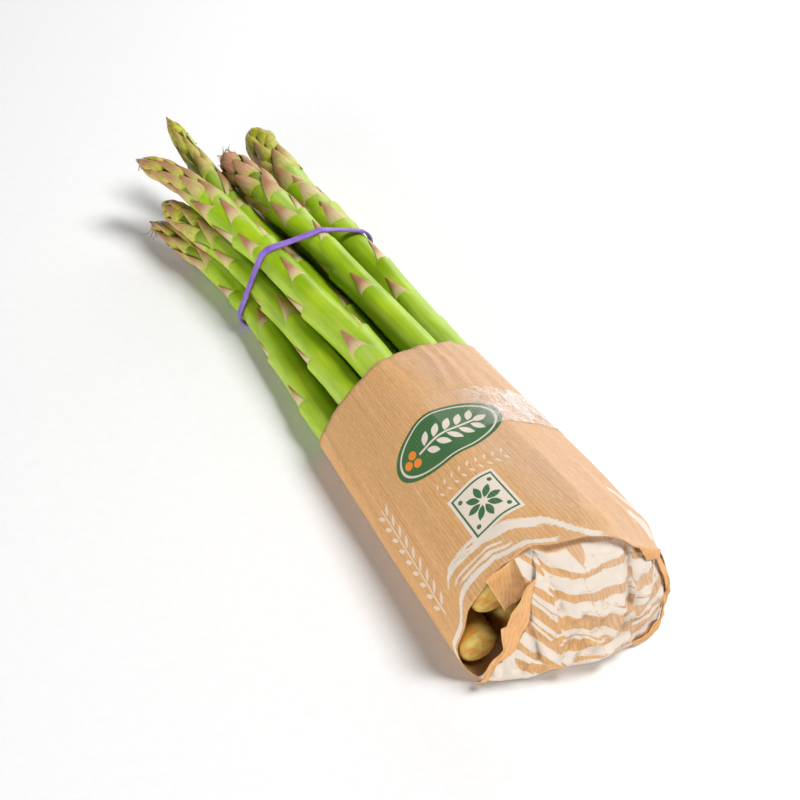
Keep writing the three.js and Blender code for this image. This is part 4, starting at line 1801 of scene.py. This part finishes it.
@dataclass
class Sleeve:
    """The kraft sleeve: a tube round the stalks, folded up and over at the butts."""

    outline: Outline
    columns: int = 300
    rows: int = 96
    lean: float = 0.1  # how far the mouth draws back per mm of height
    dent: float = 3.3  # how far the right corner is pressed in
    dent_turn: float = 8.0  # its direction, in degrees
    dent_spread: float = 42.0  # and half its width
    edge: Points = (  # the folded edge in the working axes, from the bottom round the right
        (4.9, -11.9, 0), (17, -13, 0), (23, -11.4, 0), (29.5, -8.4, 0.5), (30, -7.8, 4.8),
        (30, -7.5, 14), (30, -2.7, 23.7), (28, -4.5, 26), (22.7, -5.5, 34), (18, -5.5, 37),
        (14.5, -3.5, 38), (10.8, -1.5, 39), (6, 1, 39.5), (0.5, 2.6, 40), (-3.5, 3.8, 40),
        (-8.7, 6.8, 39), (-10.8, 7.3, 38), (-14, 7.6, 36), (-17.3, 8.7, 34), (-22.5, 8.4, 32.5),
        (-26, 7.6, 27), (-26.5, 8, 21.5), (-27.5, 6.4, 16.5), (-32.3, 6.1, 9.5), (-31, 2, 3),
        (-30, 0, 0), (-24, -2.9, 0), (-15.3, -6.6, 0), (-6.3, -8.2, 0), (1.7, -11.5, 0),
    )
    tube_creases: Sequence[Crease] = (
        Crease(((22, 97), (24, 80), (27, 60)), 0.9, 3.0),
        Crease(((16, 97), (17, 84), (15, 70)), -0.8, 3.5),
        Crease(((8, 97), (9, 86), (6, 74)), 0.6, 3.0),
        Crease(((-4, 97), (-3, 82)), -0.5, 3.0),
        Crease(((-34, 97), (-36, 60), (-38, 20)), 0.35, 5.0),
        Crease(((-22, 14), (-10, 18), (4, 12), (14, 2)), 0.3, 4.0),
        Crease(((4, 4), (10, 16), (12, 34)), 0.45, 4.0),
        Crease(((26, 0), (22, 14), (24, 30)), 0.5, 4.0),
        Crease(((12, 0), (18, 6), (30, 8)), -0.5, 3.0),
        Crease(((-14, 8), (-20, 22), (-22, 40)), 0.3, 5.0),
    )
    fold_line: Points = (  # right edge of the turned strip, from its foot up
        (-29.7, -1.3, 0.8), (-25, -2.2, 7.7), (-22.7, -2.5, 10), (-19, -2.3, 14.9), (-15.8, -1.9, 19.1),
        (-14.5, -0.7, 23.1), (-12, 1.5, 29.7), (-10.6, 2.5, 32.3),
    )
    panel_line: Points = ((-8.9, 3.9, 35.3), (-9.8, 6.4, 39.0))  # where the panel goes on above it
    free_line: Points = (  # its left edge
        (-30.5, -1.1, 0.9), (-28.4, -1.3, 5.6), (-25.6, -1.2, 10.7), (-22.6, -1.3, 13.7),
        (-22.3, 0.5, 19.9), (-20.9, 0.3, 20.5), (-19.3, 1.1, 24.4), (-12.2, 2.6, 31.9),
    )
    corner_points: Points = ((-13.0, 2.2, 30.8), (-7.2, 1.2, 29.4), (-13.8, 8.4, 36.8), (-5.4, 8.6, 37.8))
    end_creases: Sequence[Crease] = (  # over x and height
        Crease(((-9, 39), (-7.7, 36), (-7.6, 34.5), (-6.8, 30), (-5.6, 25), (-6, 23.5)), -1.1, 2.4),
        Crease(((-7.6, 36), (-6.3, 35), (-4, 33)), -0.9, 2.0),
        Crease(((17, 36), (15.4, 30), (14.3, 24), (13.5, 20)), -1.9, 3.2),
        Crease(((18, 34), (18.2, 29.5), (16, 25), (14.2, 21)), 1.1, 2.4),
        Crease(((9.6, 22), (7.6, 18.5), (4.7, 13), (1.2, 12.8)), 1.3, 2.3),
        Crease(((-3.3, 22), (0, 22.5), (4, 20.5), (9, 22)), 0.8, 1.9),
        Crease(((-0.5, 17.5), (0.4, 14), (1.6, 13.3)), 0.8, 1.8),
        Crease(((8, 18.3), (4.7, 13), (1.5, 10.5), (-4, 9), (-5.4, 6.6), (-8.6, 3.7)), 1.0, 2.3),
        Crease(((-9.6, 25), (-9.3, 15), (-8.4, 7)), 0.7, 4.2),
        Crease(((-14.2, 21), (-13.4, 14.5), (-13.2, 8), (-16, 5)), -1.0, 2.8),
        Crease(((-16.7, 15), (-15.6, 10.5), (-13.6, 7.7)), 0.8, 2.4),
        Crease(((-5.4, 6), (3.1, 6.6), (12.4, 6.4)), 0.5, 2.6),
        Crease(((2, 37), (1, 30), (3.7, 12), (4, 4)), 0.6, 6.0),
        Crease(((29, 20), (22, 13), (12, 8), (4, 5)), 0.7, 4.0),
        Crease(((24, 31), (21.7, 26), (16, 17)), 1.1, 3.4),
        Crease(((29, 30), (27.5, 16), (27, 4)), -0.9, 3.0),
    )
    inner_corners: Points = ((-17.0, 5.6, 17.6), (-9.0, 3.4, 24.6), (-22.2, 8.2, 31.5), (-11.5, 8.2, 36.7))
    pleat_corners: Points = ((20.4, -7.2, 29.2), (26.0, -6.4, 25.4), (17.5, -6.0, 35.6), (26.6, -5.4, 28.2))
    gusset_low: Points = (
        (15.5, 0.0, 0.5), (19.2, 0.0, 0.5), (25.0, 0.0, 0.9), (28.8, 0.0, 3.2), (29.8, 0.0, 8.6),
        (29.8, 0.0, 15.0), (28.6, 0.0, 20.5), (27.4, 0.0, 25.0),
    )
    gusset_high: Points = (
        (15.0, 0.0, 1.6), (17.8, 0.0, 2.2), (22.4, 0.0, 3.6), (25.0, 0.0, 5.6), (26.4, 0.0, 9.6),
        (26.9, 0.0, 14.8), (26.4, 0.0, 20.8), (25.6, 0.0, 24.6),
    )

    def __post_init__(self) -> None:
        """Tabulates the tube's radius."""
        self.stations = np.linspace(-22.0, 100.0, 62) + SHIFT[1]
        taut = np.stack([self.outline.radius(y, PAPER_GAP) for y in self.stations])
        weights = np.exp(-((np.arange(-14, 15) / 5.5) ** 2))
        weights /= weights.sum()
        self.table = sum(w * np.roll(taut, k - 14, axis=1) for k, w in enumerate(weights))
        middle = self.outline.at(SHIFT[1] + 50.0, PAPER_GAP, self.outline.angles)
        steps = np.linalg.norm(np.roll(middle, -1, axis=0) - middle, axis=1)
        self.girth = float(steps.sum())
        run = np.concatenate([[0.0], np.cumsum(steps)])
        self.runs = run - np.interp(math.pi / 2.0, np.append(self.outline.angles, FULL_TURN), run)
        spots = row(self.edge)
        angles = np.arctan2(spots[:, 2] - HUB[1], spots[:, 0] - HUB[0])
        order = np.argsort(angles)
        self.edge_angles, self.edge_y = angles[order], spots[order, 1]

    def across(self, angle: np.ndarray) -> np.ndarray:
        """Place on the flat sheet.

        Args:
            angle: Directions from the hub, from -90 to 270 degrees, in radians.

        Returns:
            How far right of the top each is, in mm.
        """
        turn = np.append(self.outline.angles, FULL_TURN)
        wrapped = np.where(angle < 0.0, angle + FULL_TURN, angle)
        run = np.interp(wrapped, turn, self.runs)
        return np.where(angle < 0.0, self.girth - run, -run)

    def front(self, angle: np.ndarray) -> np.ndarray:
        """The row's y of the folded edge at each angle."""
        return np.interp(angle, self.edge_angles, self.edge_y, period=FULL_TURN)

    def place(self, angle: np.ndarray, y: np.ndarray, out: float = 0.0) -> np.ndarray:
        """Points of the tube's outer face, with its creases.

        Args:
            angle: Directions from the hub, in radians.
            y: The row's y of each, in mm.
            out: Distance outside the face.

        Returns:
            The points.
        """
        share = (y - self.stations[0]) / (self.stations[1] - self.stations[0])
        low = np.clip(share.astype(int), 0, len(self.stations) - 2)
        part = np.clip(share - low, 0.0, 1.0)
        turn = (angle % FULL_TURN) / FULL_TURN * 360.0
        column = turn.astype(int) % 360
        following, slide = (column + 1) % 360, turn - np.floor(turn)
        near = self.table[low, column] * (1 - slide) + self.table[low, following] * slide
        far = self.table[low + 1, column] * (1 - slide) + self.table[low + 1, following] * slide
        radius = near * (1.0 - part) + far * part + out
        work = y - SHIFT[1]
        off = (np.degrees(angle) - self.dent_turn + 180.0) % 360.0 - 180.0
        radius = radius - self.dent * ease(work, 8.0, -3.5) * np.exp(-((off / self.dent_spread) ** 2))
        across = self.across((angle + math.pi / 2.0) % FULL_TURN - math.pi / 2.0)
        spot = vectors(across, work)
        level = HUB[1] + radius * np.sin(angle)
        free = ease(level, 0.4, 5.0)
        soft = 0.32 * wander(vectors(across / 7.0, work / 42.0, 0.0), 3)
        soft = soft + 0.1 * wander(vectors(across / 3.1, work / 15.0, 9.5), 4)
        radius = radius + free * (soft + creased(spot, self.tube_creases))
        x, z = HUB[0] + radius * np.cos(angle), HUB[1] + radius * np.sin(angle)
        return vectors(x, y, np.maximum(z, 0.02 + out))

    def rim(self, angle: np.ndarray) -> np.ndarray:
        """Points of the folded edge at angles."""
        return self.place(angle, self.front(angle))

    def tube(self) -> bpy.types.Object:
        """The tube, from its mouth to the folded edge.

        Returns:
            The mesh object.
        """
        turns = np.linspace(-math.pi / 2.0, 1.5 * math.pi, self.columns, endpoint=False)
        share = np.linspace(0.0, 1.0, self.rows) ** 0.9
        angle = np.broadcast_to(turns, (self.rows, self.columns))
        front = self.front(turns)
        flat = self.place(turns, np.full(self.columns, MOUTH_Y))
        wave = 0.3 * np.sin(turns * 5.0) + 0.1 * np.sin(turns * 13.0 + 1.0)
        mouth = MOUTH_Y - self.lean * flat[:, 2] + wave * ease(flat[:, 2], 0.4, 6.0)
        y = mouth + (front - mouth) * share[:, None]
        points = self.place(angle, y)
        behind = y - front
        crest = ease(np.degrees(turns), 12.0, 30.0) * ease(np.degrees(turns), 150.0, 112.0)
        points[..., 2] += 0.55 * crest * ease(behind, 5.0, 0.0)
        ends = np.append(turns, 1.5 * math.pi - 1e-6)
        across = np.broadcast_to(self.across(ends), (self.rows, self.columns + 1))
        along = np.hstack([y, y[:, :1]]) - SHIFT[1]
        piece = Sheet(points, True).piece("sleeve_tube", PRINTED, vectors(across, along))
        store(piece.data, "rim", behind.ravel())
        return piece

    def end(self) -> bpy.types.Object:
        """The bottom panel, folded up over the butts and tucked under the top edge.

        Returns:
            The mesh object.
        """
        wide, tall = 120, 96
        foot = self.rim(np.radians(np.linspace(-153.0, -29.0, 60)))
        right = self.rim(np.radians(np.linspace(-29.0, 14.0, 40)))
        top = self.rim(np.radians(np.linspace(113.0, 14.0, 60))) + np.array([0.0, 2.2, -0.9])
        tuck = np.linspace(0.0, 1.0, 40)[:, None] ** 4
        right = right + np.array([-0.3, 0.1, 0.0]) + tuck * np.array([0.0, 2.1, -0.9])
        left = row((*self.fold_line, *self.panel_line))
        left[0], left[-1] = foot[0], top[0]
        low, high = smooth(foot, wide), smooth(top, wide)
        west, east = smooth(left, tall), smooth(right, tall)
        low[-1], high[-1] = east[0], east[-1]
        u = np.linspace(0.0, 1.0, wide)[None, :, None]
        v = np.linspace(0.0, 1.0, tall)[:, None, None]
        points = (1 - v) * low[None] + v * high[None] + (1 - u) * west[:, None] + u * east[:, None]
        points -= (1 - u) * (1 - v) * low[0] + u * (1 - v) * low[-1]
        points -= (1 - u) * v * high[0] + u * v * high[-1]
        spot = vectors(points[..., 0] - SHIFT[0], points[..., 2] - SHIFT[2])
        hold = ease(v[..., 0], 0.0, 0.06) * ease(v[..., 0], 1.0, 0.9) * ease(u[..., 0], 1.0, 0.95)
        grain = vectors(spot[..., 0] / 2.6, 3.5, spot[..., 1] / 2.6)
        broad, fine = wander(grain * 0.6, 8), wander(grain * 1.5, 9)
        crumple = 1.25 * (0.5 - np.abs(broad)) + 0.55 * (0.5 - np.abs(fine))
        bulge = 1.6 * np.sin(math.pi * v[..., 0]) * np.sin(math.pi * np.minimum(u[..., 0] + 0.2, 1.0))
        points[..., 1] -= hold * (1.6 * creased(spot, self.end_creases) + crumple + bulge)
        self.panel = points.reshape(-1, 3)
        piece = Sheet(points).piece("sleeve_end", BANDED, spot)
        # Closeness to the crease and crumple ridges, for ink cracks that are partly painted shade along the
        # folds.
        folds_worn_and_shaded = [np.abs(crease.height(spot) / crease.depth) ** 9 for crease in self.end_creases]
        folds_worn_and_shaded += [np.clip(1.0 - np.abs(broad) * 9.0, 0.0, 1.0) * 0.8 * hold]
        store(piece.data, "wear", np.max(folds_worn_and_shaded, axis=0).ravel())
        return piece

    def strip(self) -> bpy.types.Object:
        """The strip turned back along the opening, bare side out.

        Returns:
            The mesh object.
        """
        points, share, rise = ladder(self.free_line, self.fold_line, 90, 11)
        bow = 0.9 + 0.7 * np.abs(share - 0.45 - 0.3 * np.sin(rise * 9.0)) + 0.3 * np.sin(rise * 19.0)
        pleats = 2.0 * np.abs((rise * 2.3 + 1.4 * rise * rise + 0.8 * share) % 1.0 - 0.5)
        points[..., 1] -= (bow + 0.6 * pleats) * ease(rise, 0.0, 0.08)
        return Sheet(points).piece("sleeve_strip", BARE, vectors(share * 5.0, rise * 46.0))

    def resting(self, points: np.ndarray, gap: np.ndarray) -> np.ndarray:
        """Lays points against the end panel.

        Args:
            points: The points, whose y is worked out.
            gap: Distance in front of the panel.

        Returns:
            The points in their places.
        """
        laid = points.copy()
        for spot in np.ndindex(points.shape[:-1]):
            away = np.hypot(self.panel[:, 0] - points[spot][0], self.panel[:, 2] - points[spot][2])
            near = away < away.min() + 0.9
            laid[spot][1] = self.panel[near, 1].min() - gap[spot]
        return laid

    def flap(self, name: str, corners: Points, bow: float, finish: Finish) -> bpy.types.Object:
        """A loose flap between four corners.

        Args:
            name: The piece's name.
            corners: Lower left, lower right, upper left and upper right, working axes.
            bow: How far it bulges to the front.
            finish: Its finish.

        Returns:
            The mesh object.
        """
        count = 20
        low, high = row(corners[:2]), row(corners[2:])
        u = np.linspace(0.0, 1.0, count)[None, :, None]
        v = np.linspace(0.0, 1.0, count)[:, None, None]
        points = (1 - v) * (low[0] * (1 - u) + low[1] * u) + v * (high[0] * (1 - u) + high[1] * u)
        flat = vectors(points[..., 0] - SHIFT[0], points[..., 2] - SHIFT[2])
        fold = 0.5 - np.abs(wander(vectors(points[..., 0] / 2.4, 7.5, points[..., 2] / 2.4), 31))
        points[..., 1] -= bow * (np.sin(math.pi * u) * np.sin(math.pi * v))[..., 0] + 1.1 * bow * fold
        return Sheet(points).piece(name, finish, flat)

    def gusset(self) -> bpy.types.Object:
        """The folded layers down the right corner.

        Returns:
            The mesh object.
        """
        points, share, rise = ladder(self.gusset_high, self.gusset_low, 50, 9)
        gap = 0.4 + 0.5 * np.abs(share - 0.4) + 0.25 * np.sin(rise * 21.0) ** 2
        laid = self.resting(points, gap)
        return Sheet(laid).piece("sleeve_gusset", BARE, vectors(share * 3.5, rise * 22.0))


@dataclass
class Tape:
    """The strip of clear tape over the sleeve's right side."""

    sleeve: Sleeve
    start: float = 105.0
    end: float = -12.0
    width: float = 18.0
    wall: float = 0.12
    gap: float = 0.2  # over the paper
    middle: float = 62.0  # y at the start, in the working axes
    drift: float = -6.0  # and how much further it lies at the end

    def build(self) -> bpy.types.Object:
        """The strip.

        Returns:
            The mesh object.
        """
        across, down = 130, 26
        angle = np.radians(np.linspace(self.end, self.start, across))[None]
        share = np.linspace(0.5, -0.5, down)[:, None]
        middle = self.middle + (self.start - np.degrees(angle)) / (self.start - self.end) * self.drift
        y = middle + SHIFT[1] + self.width * share
        angle = np.broadcast_to(angle, y.shape)
        points = self.sleeve.place(angle, y, self.gap)
        spot = vectors(angle * 9.0, y / 2.4, 0.0)
        out = points - np.array([HUB[0], 0.0, HUB[1]])
        out[..., 1] = 0.0
        out /= np.linalg.norm(out, axis=-1, keepdims=True)
        wrinkle = 0.14 * (wander(spot, 21) + 1.0) + 0.08 * (wander(spot * 2.1, 22) + 1.0)
        points += out * wrinkle[..., None]
        flat = vectors(-self.sleeve.across(angle), y - SHIFT[1])
        return Sheet(points, wall=self.wall).piece("tape_strip", CLEAR, flat, "strip")


# ---- studio ----


@dataclass(frozen=True)
class Lamp:
    """A round soft light, placed by the camera's directions."""

    name: str
    right: float  # direction from the bundle
    away: float
    up: float
    power: float  # watts
    size: float  # metres across
    distance: float  # metres from the bundle


@dataclass
class Studio:
    """Floor, lights and camera."""

    azimuth: float = -31.0
    elevation: float = 45.0
    spot: Rgb = (-0.15176, -0.2839, 0.31075)
    lens: float = 58.5
    sky: float = 0.05  # brightness overhead
    horizon: float = 1.1  # and at the horizon
    lamps: Sequence[Lamp] = (
        Lamp("key", 0.62, 0.1, 1.0, 17.0, 0.5, 1.3),
        Lamp("back", 0.35, 0.85, 0.42, 4.5, 0.9, 1.2),
        Lamp("fill", -0.5, -0.85, 0.11, 14.0, 0.8, 1.2),
    )

    def floor(self) -> None:
        """A wide pale disc under the bundle."""
        sides, radius = 96, 4000.0
        turns = [FULL_TURN * k / sides for k in range(sides)]
        ring = [(radius * math.cos(turn), radius * math.sin(turn), 0) for turn in turns]
        new_piece("ground", np.array(ring), [list(range(sides))], [GROUND])

    def light(self, turn: float) -> None:
        """Puts up the lamps, each aimed at the bundle.

        Args:
            turn: The camera's azimuth, in radians.
        """
        right = Vector((math.cos(turn), math.sin(turn), 0.0))
        away = Vector((-math.sin(turn), math.cos(turn), 0.0))
        for lamp in self.lamps:
            light = bpy.data.lights.new(lamp.name, "AREA")
            light.energy, light.size, light.shape = lamp.power, lamp.size, "DISK"
            toward = Vector((0, 0, lamp.up)) + right * lamp.right + away * lamp.away
            holder = placed(lamp.name, light)
            holder.location = toward.normalized() * lamp.distance
            holder.rotation_euler = toward.to_track_quat("Z", "Y").to_euler()

    def surround(self) -> None:
        """A sky that is bright near the horizon and dim overhead."""
        world = bpy.data.worlds.new("studio")
        world.use_nodes = True
        bpy.context.scene.world = world
        world.node_tree.nodes.clear()
        graph = Graph(world.node_tree)
        way = graph.node("ShaderNodeTexCoord", None, None, "Generated")
        level = abs(graph.parts(way)["Z"])
        shade = graph.mix(level.step(0.04, 0.34), (self.horizon,) * 3, (self.sky,) * 3)
        glow = graph.node("ShaderNodeBackground", None, {"Color": shade, "Strength": 1.0})
        graph.node("ShaderNodeOutputWorld", {"target": "ALL"}, {"Surface": glow})

    def build(self) -> None:
        """Puts up the floor, the lights, the sky and the camera."""
        turn, rise = math.radians(self.azimuth), math.radians(self.elevation)
        self.floor()
        self.light(turn)
        self.surround()
        camera = bpy.data.cameras.new("camera")
        camera.lens, camera.sensor_width = self.lens, 36.0
        camera.clip_start, camera.clip_end = 0.01, 20.0
        holder = placed("camera", camera)
        holder.location = self.spot
        toward = Vector((math.sin(turn) * math.cos(rise), -math.cos(turn) * math.cos(rise), math.sin(rise)))
        holder.rotation_mode = "QUATERNION"
        holder.rotation_quaternion = toward.to_track_quat("Z", "Y")
        bpy.context.scene.view_settings.view_transform = "Standard"
        bpy.context.scene.camera = holder


def main() -> None:
    """Builds the bundle, then the studio."""
    logging.basicConfig(level=logging.INFO, format="%(message)s")
    leaves, threads = BractTool(), ThreadTool()
    for spear in SPEARS:
        keep(spear.stalk(), "spear", spear.name)
        keep(spear.coat(leaves), "spear", spear.name)
        if spear.hairs:
            keep(spear.fray(threads), "spear", spear.name)
    outline = Outline(SPEARS)
    keep(Band(outline).build(), "band", "rubber_band")
    sleeve = Sleeve(outline)
    for piece in (sleeve.tube(), sleeve.end(), sleeve.strip(), sleeve.gusset(),
                  sleeve.flap("sleeve_inner_flap", sleeve.inner_corners, 0.8, BARE),
                  sleeve.flap("sleeve_corner", sleeve.corner_points, 0.5, BANDED),
                  sleeve.flap("sleeve_pleat", sleeve.pleat_corners, 0.6, BARE)):
        keep(piece, "kraft", "paper_sleeve")
    keep(Tape(sleeve).build(), "tape", "clear_tape")
    Studio().build()


if __name__ == "__main__":
    main()
